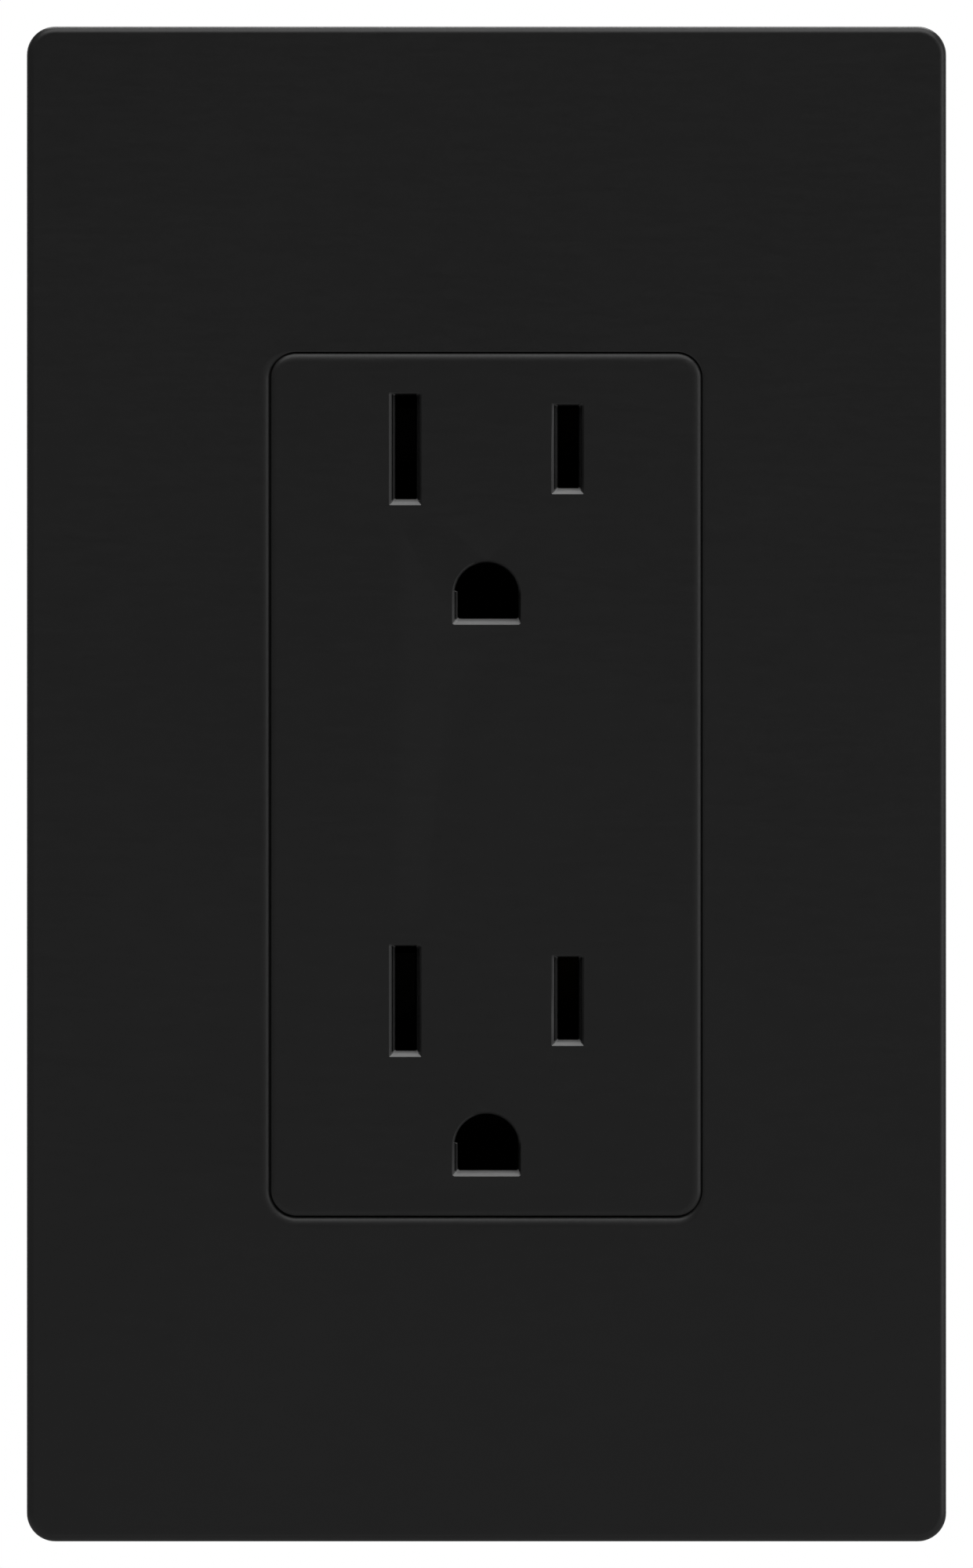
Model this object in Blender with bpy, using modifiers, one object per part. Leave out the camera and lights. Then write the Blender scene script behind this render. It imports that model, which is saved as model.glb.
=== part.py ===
"""Duplex wall outlet: a decorator-format 15 A receptacle under its screwless cover plate.

Metres. X runs right as seen from the room, Z up and Y into the wall. The wall plane is y = 0,
so the cover plate and the face stand at negative y and the rear body at positive y.
Dimensions are written in millimetres and scaled once, when a mesh is finished.
"""

import math

import bmesh
import bpy
from mathutils import Matrix, Vector

MM = 0.001
WELD = 1e-4
SHARP = math.radians(35)
GAP = 0.3
QUARTER = math.pi / 2
TO_ROOM = (QUARTER, 0.0, 0.0)
TO_BOX = (-QUARTER, 0.0, 0.0)
TO_RIGHT = (0.0, QUARTER, 0.0)
TO_LEFT = (0.0, -QUARTER, 0.0)

# Outlet pattern, seen from the room: blade line above each group centre, ground hole below it
GROUP_Z = 21.3
BLADE_RISE = 4.9
GROUND_DROP = 6.85
BLADE_X = 6.35
SLOT_W = 1.74
NEUTRAL_SLOT_H = 8.05
HOT_SLOT_H = 6.5
SLOT_LEAD_IN = 0.36
SLOT_LEAD_DEPTH = 0.45
GROUND_R = 2.6
GROUND_FLAT = 2.45
GROUND_LEAD_IN = 0.15
GROUND_LEAD_DEPTH = 0.2

# Screw positions up and down the strap
MOUNT_Z = 41.67
PLATE_SCREW_Z = 48.42
ASSEMBLY_X = 13.2
ASSEMBLY_Z = 29.9
RIVET_Z = 6.5

# Cover plate
PLATE_W = 71.0
PLATE_H = 117.0
PLATE_FRONT = -7.0
PLATE_CORNER = 2.2
PLATE_EDGE = 0.6
PLATE_SKIN = 2.0
PLATE_WALL = 1.6
WINDOW_W = 33.5
WINDOW_H = 67.1
WINDOW_CORNER = 2.1
WINDOW_EDGE = 0.45
COLLAR_WALL = 1.2
COLLAR_DEPTH = 1.0
NIB_REACH = 0.3
NIB_LENGTH = 6.0
NIB_Z = (-36.0, -12.0, 12.0, 36.0)
PRY_W = 8.0
PRY_DEPTH = 1.2

# Adapter plate that the cover snaps on
ADAPTER_W = 66.6
ADAPTER_H = 112.6
ADAPTER_FRONT = -3.0
ADAPTER_BACK = -1.5
ADAPTER_RIM = -0.3
ADAPTER_RIM_WALL = 1.2
ADAPTER_CORNER = 1.6
ADAPTER_WINDOW = (17.25, 34.0)
SCREW_BAY = (4.2, 45.15)
RATCHET_STEPS = (-2.5, -1.8, -1.1)
RATCHET_DEPTH = 0.4

# Face of the receptacle
FACE_W = 33.1
FACE_H = 66.7
FACE_FRONT = -7.2
FACE_BACK = -1.5
FACE_CORNER = 2.0
FACE_EDGE = 0.55
FACE_SKIN = 2.1
FACE_WALL = 1.6
TOWER_X = 10.0
TOWER_Z = 10.2
TOWER_BACK = 0.0
FACE_POST_R = 2.8

# Mounting strap
STRAP_FRONT = -1.2
STRAP_BACK = 0.0
STRAP_HALF = 53.2
EAR_X = 21.0
EAR_Z = 44.2
NECK_X = 11.0
RAIL_X = 17.2
STRAP_WINDOW = (11.5, 10.3, 32.1)
GROUND_TAB_X = (-12.2, -11.0)
GROUND_TERMINAL_Y = 6.2
GROUND_TERMINAL_Z = -38.1

# Rear body
BODY_W = 33.4
BODY_H = 66.0
BODY_FRONT = 0.3
BODY_BACK = 25.7
BODY_WALL = 1.8
BODY_CORNER = 2.0
BODY_EDGE = 1.2
RECESS_X = 12.9
RECESS_Y = (5.5, 19.5)
RECESS_Z = 17.0
RIB_X = (3.4, 4.2)
BODY_POST_R = 2.9
BODY_SCREW_SEAT = 22.5
WIRE_HOLE_X = 14.15
WIRE_HOLE_R = 1.15
WIRE_OFFSET = 3.2

# Contacts
LEAF = 0.7
LEAF_HALF_W = 3.2
CLIP_PATH = ((-1.5, 2.4), (-1.1, 5.0), (-1.5, 8.0), (-1.5, 18.0), (1.5, 18.0), (1.5, 8.0), (1.1, 5.0), (1.5, 2.4))
TERMINAL_Y = 13.2
TERMINAL_Z = 9.5
TERMINAL_PLATE_X = (13.2, 14.0)
GROUND_STRIP_X = 3.1
GROUND_LEAF = 0.6

# Screws: radius and length of the shank, radius and height of the head
TERMINAL_SCREW = {"shank": 1.9, "length": 6.2, "head": 3.7, "height": 2.0}
MOUNTING_SCREW = {"shank": 1.7, "length": 18.5, "head": 3.2, "height": 2.1}
ASSEMBLY_SCREW = {"shank": 1.25, "length": 27.1, "head": 2.35, "height": 1.8}
PLATE_SCREW_SHANK = 1.6
PLATE_SCREW_HEAD = 2.5
PLATE_SCREW_TIP = 6.7
TERMINAL_SEAT = 15.8
CLAMP_SEAT = 14.3
CLAMP_THICK = 1.2
CLAMP_HALF = 4.3
RETAINER_Y = 5.0
ROUND_STEPS = 20

# Colour, roughness, metallic
BLACK_PLASTIC = ((0.014, 0.014, 0.015), 0.42, 0.0)
BODY_PLASTIC = ((0.02, 0.02, 0.022), 0.5, 0.0)
ADAPTER_PLASTIC = ((0.03, 0.03, 0.032), 0.55, 0.0)
GALVANISED = ((0.55, 0.56, 0.57), 0.42, 1.0)
ZINC_STEEL = ((0.62, 0.62, 0.6), 0.35, 1.0)
BRASS = ((0.72, 0.5, 0.2), 0.35, 1.0)
NICKEL = ((0.66, 0.64, 0.6), 0.3, 1.0)
GREEN_STEEL = ((0.06, 0.3, 0.12), 0.4, 0.8)
FIBRE = ((0.55, 0.47, 0.33), 0.85, 0.0)


def clear_scene():
    for old in list(bpy.data.objects):
        bpy.data.objects.remove(old, do_unlink=True)


def new_collection(name):
    made = bpy.data.collections.new(name)
    bpy.context.scene.collection.children.link(made)
    return made


def new_material(name, look):
    """A Principled material from (colour, roughness, metallic)."""
    colour, roughness, metallic = look
    made = bpy.data.materials.new(name)
    made.use_nodes = True
    shader = made.node_tree.nodes["Principled BSDF"]
    shader.inputs["Base Color"].default_value = (*colour, 1.0)
    shader.inputs["Roughness"].default_value = roughness
    shader.inputs["Metallic"].default_value = metallic
    made.diffuse_color = (*colour, 1.0)
    return made


def placed(name, bm, collection, at, turn):
    """An object from a mesh built in millimetres about its own origin."""
    bmesh.ops.scale(bm, vec=(MM, MM, MM), verts=bm.verts)
    mesh = bpy.data.meshes.new(name)
    bm.to_mesh(mesh)
    bm.free()
    made = bpy.data.objects.new(name, mesh)
    made.location = Vector(at) * MM
    made.rotation_euler = turn
    collection.objects.link(made)
    return made


def piece(name, bm, look, at=(0, 0, 0), turn=(0, 0, 0)):
    """One visible sub-part, with a material of its own."""
    made = placed(name, bm, OUTLET, at, turn)
    made.data.materials.append(new_material(name, look))
    return made


def boolean(target, bm, operation, at=(0, 0, 0), turn=(0, 0, 0)):
    """A Boolean on target with a hidden helper made from bm."""
    label = f"{target.name}_{operation.lower()}_{len(target.modifiers)}"
    helper = placed(label, bm, CUTTERS, at, turn)
    helper.hide_render = True
    helper.display_type = "WIRE"
    modifier = target.modifiers.new(label, "BOOLEAN")
    modifier.operation = operation
    modifier.solver = "EXACT"
    modifier.object = helper
    modifier.use_self = True


def cut(target, bm, at=(0, 0, 0), turn=(0, 0, 0)):
    boolean(target, bm, "DIFFERENCE", at, turn)


def add(target, bm, at=(0, 0, 0), turn=(0, 0, 0)):
    boolean(target, bm, "UNION", at, turn)


def both(half):
    """The span from -half to +half."""
    return (-half, half)


def add_box(bm, x, y, z):
    size = Vector((x[1] - x[0], y[1] - y[0], z[1] - z[0]))
    centre = Vector((x[0] + x[1], y[0] + y[1], z[0] + z[1])) / 2
    bmesh.ops.create_cube(bm, size=1.0, matrix=Matrix.Translation(centre) @ Matrix.Diagonal((*size, 1.0)))


def boxes(*limits):
    """One mesh of plain boxes, each given as its x, y and z spans."""
    bm = bmesh.new()
    for x, y, z in limits:
        add_box(bm, x, y, z)
    return bm


def on_both_sides(x, y, z):
    """A box at positive x and its mirror image."""
    return ((x, y, z), ((-x[1], -x[0]), y, z))


def add_rod(bm, radius, start, end, steps=ROUND_STEPS):
    """A cylinder between two points."""
    start, end = Vector(start), Vector(end)
    along = end - start
    turn = along.to_track_quat("Z", "Y").to_matrix().to_4x4()
    middle = Matrix.Translation((start + end) / 2)
    bmesh.ops.create_cone(
        bm,
        cap_ends=True,
        segments=steps,
        radius1=radius,
        radius2=radius,
        depth=along.length,
        matrix=middle @ turn,
    )


def rods(*specs, steps=ROUND_STEPS):
    """One mesh of cylinders, each given as its radius and its two ends."""
    bm = bmesh.new()
    for radius, start, end in specs:
        add_rod(bm, radius, start, end, steps)
    return bm


def round_edges(bm, wanted, radius, steps):
    edges = [edge for edge in bm.edges if wanted(*(vert.co for vert in edge.verts))]
    made = bmesh.ops.bevel(
        bm,
        geom=edges,
        offset=radius,
        offset_type="OFFSET",
        segments=steps,
        profile=0.5,
        affect="EDGES",
        clamp_overlap=False,
    )
    for face in made["faces"]:
        face.smooth = True


def rounded_box(x, y, z, corner, front=0.0, rear=0.0, corner_steps=4, edge_steps=2):
    """A box whose four edges along Y are rounded, and then its front and rear rims."""
    bm = boxes((x, y, z))
    round_edges(bm, lambda a, b: abs(a.x - b.x) < WELD and abs(a.z - b.z) < WELD, corner, corner_steps)
    for radius, rim in ((front, y[0]), (rear, y[1])):
        if radius:
            round_edges(bm, lambda a, b: abs(a.y - rim) < WELD and abs(b.y - rim) < WELD, radius, edge_steps)
    return bm


def flare(bm, y, centre, half, steps):
    """Pulls the face at y forward through steps of (new y, offset), growing its outline by each offset."""
    face = next(f for f in bm.faces if all(abs(v.co.y - y) < WELD for v in f.verts))
    grown = 0.0
    for new_y, offset in steps:
        made = bmesh.ops.extrude_face_region(bm, geom=[face])["geom"]
        bmesh.ops.delete(bm, geom=[face], context="FACES_ONLY")
        face = next(f for f in made if isinstance(f, bmesh.types.BMFace))
        for vert in face.verts:
            vert.co.y = new_y
            vert.co.x = centre[0] + (vert.co.x - centre[0]) * (half[0] + offset) / (half[0] + grown)
            vert.co.z = centre[1] + (vert.co.z - centre[1]) * (half[1] + offset) / (half[1] + grown)
        grown = offset
    bmesh.ops.recalc_face_normals(bm, faces=bm.faces)
    return bm


def arc(centre, radius, start, end, steps):
    """Points along an arc, both ends included, angles in turns of a right angle."""
    points = []
    for i in range(steps + 1):
        angle = QUARTER * (start + (end - start) * i / steps)
        points.append((centre[0] + radius * math.cos(angle), centre[1] + radius * math.sin(angle)))
    return points


def circle(centre, radius, steps=ROUND_STEPS):
    return arc(centre, radius, 0, 4, steps)[:-1]


def rounded_outline(corners, steps=3):
    """The outline through corners of (u, v, radius), each corner rounded by its radius."""
    points = []
    for i, (u, v, radius) in enumerate(corners):
        here = Vector((u, v))
        back = (Vector(corners[i - 1][:2]) - here).normalized()
        ahead = (Vector(corners[(i + 1) % len(corners)][:2]) - here).normalized()
        if not radius:
            points.append((u, v))
            continue
        half_angle = back.angle(ahead) / 2
        reach = radius / math.tan(half_angle)
        centre = here + (back + ahead).normalized() * radius / math.sin(half_angle)
        first = here + back * reach - centre
        sweep = first.angle_signed(here + ahead * reach - centre)
        for j in range(steps + 1):
            spoke = Matrix.Rotation(-sweep * j / steps, 2) @ first
            points.append(tuple(centre + spoke))
    return points


def rectangle(u, v, radius, steps=3):
    corners = ((u[0], v[0]), (u[1], v[0]), (u[1], v[1]), (u[0], v[1]))
    return rounded_outline([(*corner, radius) for corner in corners], steps)


def mesh_of(guide):
    """The evaluated mesh of a guide object as a bmesh in world space; the guide is removed."""
    CUTTERS.objects.link(guide)
    bpy.context.view_layer.update()
    mesh = bpy.data.meshes.new_from_object(guide.evaluated_get(bpy.context.evaluated_depsgraph_get()))
    bm = bmesh.new()
    bm.from_mesh(mesh)
    bm.transform(guide.matrix_world)
    bmesh.ops.remove_doubles(bm, verts=bm.verts, dist=WELD)
    bmesh.ops.recalc_face_normals(bm, faces=bm.faces)
    bpy.data.meshes.remove(mesh)
    bpy.data.objects.remove(guide)
    return bm


def slab(outlines, y):
    """Outlines of (x, z) points filled and given thickness over the y span; inner outlines are holes."""
    curve = bpy.data.curves.new("outline", "CURVE")
    curve.dimensions = "2D"
    curve.fill_mode = "BOTH"
    curve.extrude = (y[1] - y[0]) / 2
    for outline in outlines:
        spline = curve.splines.new("POLY")
        spline.points.add(len(outline) - 1)
        for point, (u, v) in zip(spline.points, outline):
            point.co = (u, v, 0.0, 1.0)
        spline.use_cyclic_u = True
        spline.use_smooth = False
    guide = bpy.data.objects.new("outline", curve)
    guide.location = (0.0, (y[0] + y[1]) / 2, 0.0)
    guide.rotation_euler = TO_ROOM
    return mesh_of(guide)


def turned(profile, steps=ROUND_STEPS):
    """A profile of (radius, height), listed from the top down its outer side, turned about Z."""
    mesh = bpy.data.meshes.new("profile")
    mesh.from_pydata([(r, 0.0, h) for r, h in profile], [(i, i + 1) for i in range(len(profile) - 1)], [])
    guide = bpy.data.objects.new("profile", mesh)
    screw = guide.modifiers.new("turn", "SCREW")
    screw.axis = "Z"
    screw.steps = steps
    screw.render_steps = steps
    screw.use_merge_vertices = True
    screw.merge_threshold = WELD
    bm = mesh_of(guide)
    for face in bm.faces:
        face.smooth = True
    for edge in bm.edges:
        edge.smooth = edge.calc_face_angle(0.0) < SHARP
    return bm


def bent_sheet(path, thickness, z):
    """A strip of sheet metal: a path of (x, y) points, as wide as the z span."""
    bm = bmesh.new()
    verts = [bm.verts.new((u, v, z[0])) for u, v in path]
    edges = [bm.edges.new(pair) for pair in zip(verts, verts[1:])]
    made = bmesh.ops.extrude_edge_only(bm, edges=edges)["geom"]
    raised = [part for part in made if isinstance(part, bmesh.types.BMVert)]
    bmesh.ops.translate(bm, vec=(0, 0, z[1] - z[0]), verts=raised)
    mesh = bpy.data.meshes.new("sheet")
    bm.to_mesh(mesh)
    bm.free()
    guide = bpy.data.objects.new("sheet", mesh)
    solid = guide.modifiers.new("sheet", "SOLIDIFY")
    solid.thickness = thickness
    solid.offset = 0.0
    solid.use_even_offset = True
    return mesh_of(guide)


def make_faceplate():
    """The cover: a shallow tray with a window for the face, open at the back, that snaps on the adapter."""
    back = 0.0
    skin_back = PLATE_FRONT + PLATE_SKIN
    x, z = both(PLATE_W / 2), both(PLATE_H / 2)
    inner_x, inner_z = both(PLATE_W / 2 - PLATE_WALL), both(PLATE_H / 2 - PLATE_WALL)
    shell = rounded_box(x, (PLATE_FRONT, back), z, PLATE_CORNER, front=PLATE_EDGE, corner_steps=5, edge_steps=3)
    plate = piece("faceplate", shell, BLACK_PLASTIC)
    cut(plate, rounded_box(inner_x, (skin_back, 1.0), inner_z, 1.0, corner_steps=3))
    collar_x, collar_z = both(WINDOW_W / 2 + COLLAR_WALL), both(WINDOW_H / 2 + COLLAR_WALL)
    collar_y = (skin_back - 0.5, skin_back + COLLAR_DEPTH)
    add(plate, rounded_box(collar_x, collar_y, collar_z, WINDOW_CORNER + COLLAR_WALL))
    nibs = []
    for nib_z in NIB_Z:
        nib = (inner_x[1] - NIB_REACH, inner_x[1] + 0.5), (-1.9, -1.2), (nib_z - NIB_LENGTH / 2, nib_z + NIB_LENGTH / 2)
        nibs += on_both_sides(*nib)
    add(plate, boxes(*nibs))
    window = rounded_box(
        both(WINDOW_W / 2), (PLATE_FRONT + WINDOW_EDGE, 0.0), both(WINDOW_H / 2), WINDOW_CORNER, corner_steps=5
    )
    edge_steps = 3
    steps = []
    for i in range(1, edge_steps + 1):
        angle = QUARTER * i / edge_steps
        y = PLATE_FRONT + WINDOW_EDGE * (1 - math.sin(angle))
        steps.append((y, WINDOW_EDGE * (1 - math.cos(angle))))
    steps.append((PLATE_FRONT - 0.5, WINDOW_EDGE + 0.01))
    flare(window, PLATE_FRONT + WINDOW_EDGE, (0, 0), (WINDOW_W / 2, WINDOW_H / 2), steps)
    cut(plate, window)
    cut(plate, boxes((both(PRY_W / 2), (-PRY_DEPTH, 1.0), (z[0] - 1.0, inner_z[0] + 1.0))))


def make_adapter():
    """The frame between strap and cover: a panel with a rim, screw bays and countersunk holes."""
    x, z = both(ADAPTER_W / 2), both(ADAPTER_H / 2)
    outer = rounded_box(x, (ADAPTER_FRONT, ADAPTER_RIM), z, ADAPTER_CORNER, corner_steps=3)
    adapter = piece("adapter_plate", outer, ADAPTER_PLASTIC)
    inner_x, inner_z = both(x[1] - ADAPTER_RIM_WALL), both(z[1] - ADAPTER_RIM_WALL)
    cut(adapter, rounded_box(inner_x, (ADAPTER_BACK, 1.0), inner_z, 0.8, corner_steps=2))
    wide, tall = ADAPTER_WINDOW
    bay_x, bay_z = SCREW_BAY
    opening = rounded_outline(
        [
            (-wide, -tall, 2.0), (-bay_x, -tall, 0), (-bay_x, -bay_z, 1.5), (bay_x, -bay_z, 1.5), (bay_x, -tall, 0),
            (wide, -tall, 2.0), (wide, tall, 2.0), (bay_x, tall, 0), (bay_x, bay_z, 1.5), (-bay_x, bay_z, 1.5),
            (-bay_x, tall, 0), (-wide, tall, 2.0),
        ]
    )
    cut(adapter, slab([opening], (ADAPTER_FRONT - 1.0, 1.0)))
    shank = PLATE_SCREW_SHANK + GAP + 0.05
    head = PLATE_SCREW_HEAD + 0.35
    slope = (head - shank) / (PLATE_SCREW_HEAD - PLATE_SCREW_SHANK)
    countersink = [(0, 1.0), (head + slope, 1.0), (head, 0.0), (shank, shank - head), (shank, -3.0), (0, -3.0)]
    for side in (-1, 1):
        cut(adapter, turned(countersink), (0, ADAPTER_FRONT, side * PLATE_SCREW_Z), TO_ROOM)
    grooves = []
    for nib_z in NIB_Z:
        for step in RATCHET_STEPS:
            depth = (x[1] - RATCHET_DEPTH, x[1] + 1.0)
            grooves += on_both_sides(depth, (step, step + 0.4), (nib_z - 4.0, nib_z + 4.0))
    cut(adapter, boxes(*grooves))


def arch(centre_z, radius, flat, steps=16):
    """The ground hole outline: a half circle above and a flat side below."""
    corner = 0.5
    points = arc((0.0, centre_z), radius, 0, 2, steps)
    points += arc((corner - radius, centre_z - flat + corner), corner, 2, 3, 2)
    points += arc((radius - corner, centre_z - flat + corner), corner, 3, 4, 2)
    return points


def make_front_cover():
    """The face: a tray with the two outlet patterns and a guide tower behind each."""
    skin_back = FACE_FRONT + FACE_SKIN
    x, z = both(FACE_W / 2), both(FACE_H / 2)
    shell = rounded_box(x, (FACE_FRONT, FACE_BACK), z, FACE_CORNER, front=FACE_EDGE, corner_steps=5, edge_steps=3)
    face = piece("front_cover", shell, BLACK_PLASTIC)
    cut(face, rounded_box(both(x[1] - FACE_WALL), (skin_back, 0.5), both(z[1] - FACE_WALL), 0.8, corner_steps=2))
    towers, posts, post_holes = [], [], []
    for side in (-1, 1):
        middle = side * GROUP_Z
        towers.append((both(TOWER_X), (skin_back - 0.5, TOWER_BACK), (middle - TOWER_Z, middle + TOWER_Z)))
        for across in (-1, 1):
            px, pz = across * ASSEMBLY_X, side * ASSEMBLY_Z
            posts.append((FACE_POST_R, (px, skin_back - 0.5, pz), (px, FACE_BACK, pz)))
            post_holes.append((ASSEMBLY_SCREW["shank"] + GAP, (px, skin_back + 0.3, pz), (px, 0.5, pz)))
    add(face, boxes(*towers))
    add(face, rods(*posts))
    cut(face, rods(*post_holes))
    beyond = 0.2
    for side in (-1, 1):
        blade_z = side * GROUP_Z + BLADE_RISE
        for slot_x, slot_h in ((-BLADE_X, NEUTRAL_SLOT_H), (BLADE_X, HOT_SLOT_H)):
            half = (SLOT_W / 2, slot_h / 2)
            lead = FACE_FRONT + SLOT_LEAD_DEPTH
            slot = boxes(
                ((slot_x - half[0], slot_x + half[0]), (lead, 1.0), (blade_z - half[1], blade_z + half[1]))
            )
            slope = SLOT_LEAD_IN / SLOT_LEAD_DEPTH
            steps = [(FACE_FRONT - beyond, SLOT_LEAD_IN + beyond * slope)]
            cut(face, flare(slot, lead, (slot_x, blade_z), half, steps))
        ground_z = side * GROUP_Z - GROUND_DROP
        lead = FACE_FRONT + GROUND_LEAD_DEPTH
        hole = slab([arch(ground_z, GROUND_R, GROUND_FLAT)], (lead, 1.0))
        front = [f for f in hole.faces if all(abs(v.co.y - lead) < WELD for v in f.verts)]
        bmesh.ops.dissolve_faces(hole, faces=front)
        slope = GROUND_LEAD_IN / GROUND_LEAD_DEPTH
        middle = (0.0, ground_z + (GROUND_R - GROUND_FLAT) / 2)
        half = (GROUND_R, (GROUND_R + GROUND_FLAT) / 2)
        steps = [(FACE_FRONT - beyond, GROUND_LEAD_IN + beyond * slope)]
        cut(face, flare(hole, lead, middle, half, steps))


def make_strap():
    """The steel yoke: plaster ears, screw slots, tapped holes, two windows and a bent ground tab."""
    quarter = [
        (RAIL_X, 36.5, 1.0), (NECK_X, 39.5, 1.0), (NECK_X, EAR_Z, 0.6), (EAR_X, EAR_Z, 1.5), (EAR_X, STRAP_HALF, 3.0),
        (NECK_X + 0.9, STRAP_HALF, 0), (NECK_X, STRAP_HALF - 0.9, 0), (NECK_X - 0.9, STRAP_HALF, 0),
    ]
    top_left = [(-u, v, r) for u, v, r in reversed(quarter)]
    bottom_left = [(-u, -v, r) for u, v, r in quarter]
    bottom_right = [(u, -v, r) for u, v, r in reversed(quarter)]
    outlines = [rounded_outline(quarter + top_left + bottom_left + bottom_right)]
    wide, low, high = STRAP_WINDOW
    for side in (-1, 1):
        outlines.append(rectangle(both(wide), sorted((side * low, side * high)), 1.0, 2))
        slot_z = (side * MOUNT_Z - 2.0, side * MOUNT_Z + 2.0)
        outlines.append(rectangle(both(3.75), slot_z, 1.99, 5))
        outlines.append(circle((0, side * PLATE_SCREW_Z), PLATE_SCREW_SHANK + GAP))
        outlines.append(circle((0, side * RIVET_Z), 1.5, 12))
        for across in (-1, 1):
            outlines.append(circle((across * ASSEMBLY_X, side * ASSEMBLY_Z), ASSEMBLY_SCREW["shank"] + 0.35, 12))
            score = sorted((across * (NECK_X - 0.4), across * (NECK_X + 0.4)))
            outlines.append(rectangle(score, sorted((side * 46.5, side * 50.5)), 0.35, 1))
    strap = piece("mounting_strap", slab(outlines, (STRAP_FRONT, STRAP_BACK)), GALVANISED)
    base = (GROUND_TAB_X, (STRAP_FRONT + 0.2, 3.0), (-38.4, -33.6))
    blade = (GROUND_TAB_X, (1.6, 10.8), (-42.4, -33.6))
    add(strap, boxes(base, blade))
    hole = (TERMINAL_SCREW["shank"] + 0.35, (-13.5, GROUND_TERMINAL_Y, GROUND_TERMINAL_Z))
    cut(strap, rods((*hole, (-9.5, GROUND_TERMINAL_Y, GROUND_TERMINAL_Z))))


def make_rear_body():
    """The moulded body: a tub with contact channels, side terminal recesses and wire holes."""
    x, z = both(BODY_W / 2), both(BODY_H / 2)
    tub = rounded_box(x, (BODY_FRONT, BODY_BACK), z, BODY_CORNER, rear=BODY_EDGE)
    body = piece("rear_body", tub, BODY_PLASTIC)
    floor = BODY_BACK - 2.0
    cut(body, rounded_box(both(x[1] - BODY_WALL), (-1.0, floor), both(z[1] - BODY_WALL), 0.8, corner_steps=2))
    wall = BODY_WALL
    recess_wall = on_both_sides(
        (RECESS_X - wall, x[1] - 0.5), (RECESS_Y[0] - wall, RECESS_Y[1] + wall), both(RECESS_Z + wall)
    )
    ribs = on_both_sides(RIB_X, (1.6, floor + 0.5), both(z[1] - 1.0))
    add(body, boxes(*recess_wall))
    add(body, boxes(*ribs))
    posts, post_holes, seats, wire_holes, shank_holes, leg_slots = [], [], [], [], [], []
    for side in (-1, 1):
        for across in (-1, 1):
            px, pz = across * ASSEMBLY_X, side * ASSEMBLY_Z
            posts.append((BODY_POST_R, (px, BODY_FRONT, pz), (px, floor + 0.5, pz)))
            post_holes.append((ASSEMBLY_SCREW["shank"] + 0.35, (px, 0.0, pz), (px, 26.0, pz)))
            seats.append((ASSEMBLY_SCREW["head"] + 0.35, (px, BODY_SCREW_SEAT, pz), (px, 27.0, pz)))
            terminal_z = side * TERMINAL_Z
            hole_r = TERMINAL_SCREW["shank"] + 0.35
            hole_start = (across * 10.5, TERMINAL_Y, terminal_z)
            shank_holes.append((hole_r, hole_start, (across * 13.5, TERMINAL_Y, terminal_z)))
            for offset in (-WIRE_OFFSET, WIRE_OFFSET):
                wx, wz = across * WIRE_HOLE_X, terminal_z + offset
                wire_holes.append((WIRE_HOLE_R, (wx, RECESS_Y[1] - 1.0, wz), (wx, 26.5, wz)))
        leg_slots += on_both_sides((10.5, 13.5), (8.7, 10.1), sorted((side * 5.2, side * 13.8)))
    add(body, rods(*posts))
    cut(body, boxes(*on_both_sides((RECESS_X, 20.0), RECESS_Y, both(RECESS_Z))))
    cut(body, rods(*post_holes, steps=12))
    cut(body, rods(*seats))
    cut(body, rods(*shank_holes))
    cut(body, boxes(*leg_slots))
    cut(body, rods(*wire_holes, steps=12))
    cut(body, boxes((both(7.0), (BODY_BACK - 0.6, 27.0), both(1.1))))


def make_contact_strip(name, across, look):
    """Brass stamping on one side: two spring clips, their arms, and a terminal plate with a break-off tab."""
    halves = []
    plate_x = TERMINAL_PLATE_X
    arm_x = (BLADE_X + CLIP_PATH[4][0] - LEAF / 2, BLADE_X + CLIP_PATH[4][0] + LEAF / 2)
    for side, reach in ((1, GROUP_Z + BLADE_RISE), (-1, BLADE_RISE - GROUP_Z)):
        halves.append((arm_x, (9.0, 16.0), sorted((side * 5.5, reach))))
        halves.append(((arm_x[0], plate_x[1]), (9.0, 9.8), sorted((side * 5.5, side * 13.5))))
        halves.append((plate_x, (9.0, 17.5), sorted((side * 2.2, side * 15.0))))
    halves.append((plate_x, (11.5, 14.5), both(2.6)))
    mirror = Matrix.Diagonal((across, 1, 1, 1))
    first, *others = [boxes(limits) for limits in halves]
    for bm in (first, *others):
        bm.transform(mirror)
        bmesh.ops.recalc_face_normals(bm, faces=bm.faces)
    strip = piece(name, first, look)
    for bm in others:
        add(strip, bm)
    for clip_z in (GROUP_Z + BLADE_RISE, BLADE_RISE - GROUP_Z):
        clip_path = [(across * BLADE_X + u, v) for u, v in CLIP_PATH]
        add(strip, bent_sheet(clip_path, LEAF, (clip_z - LEAF_HALF_W, clip_z + LEAF_HALF_W)))
    holes = []
    for terminal_z in (-TERMINAL_Z, TERMINAL_Z):
        start, end = (across * 12.5, TERMINAL_Y, terminal_z), (across * 15.0, TERMINAL_Y, terminal_z)
        holes.append((TERMINAL_SCREW["shank"] + 0.35, start, end))
    cut(strip, rods(*holes))


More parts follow.
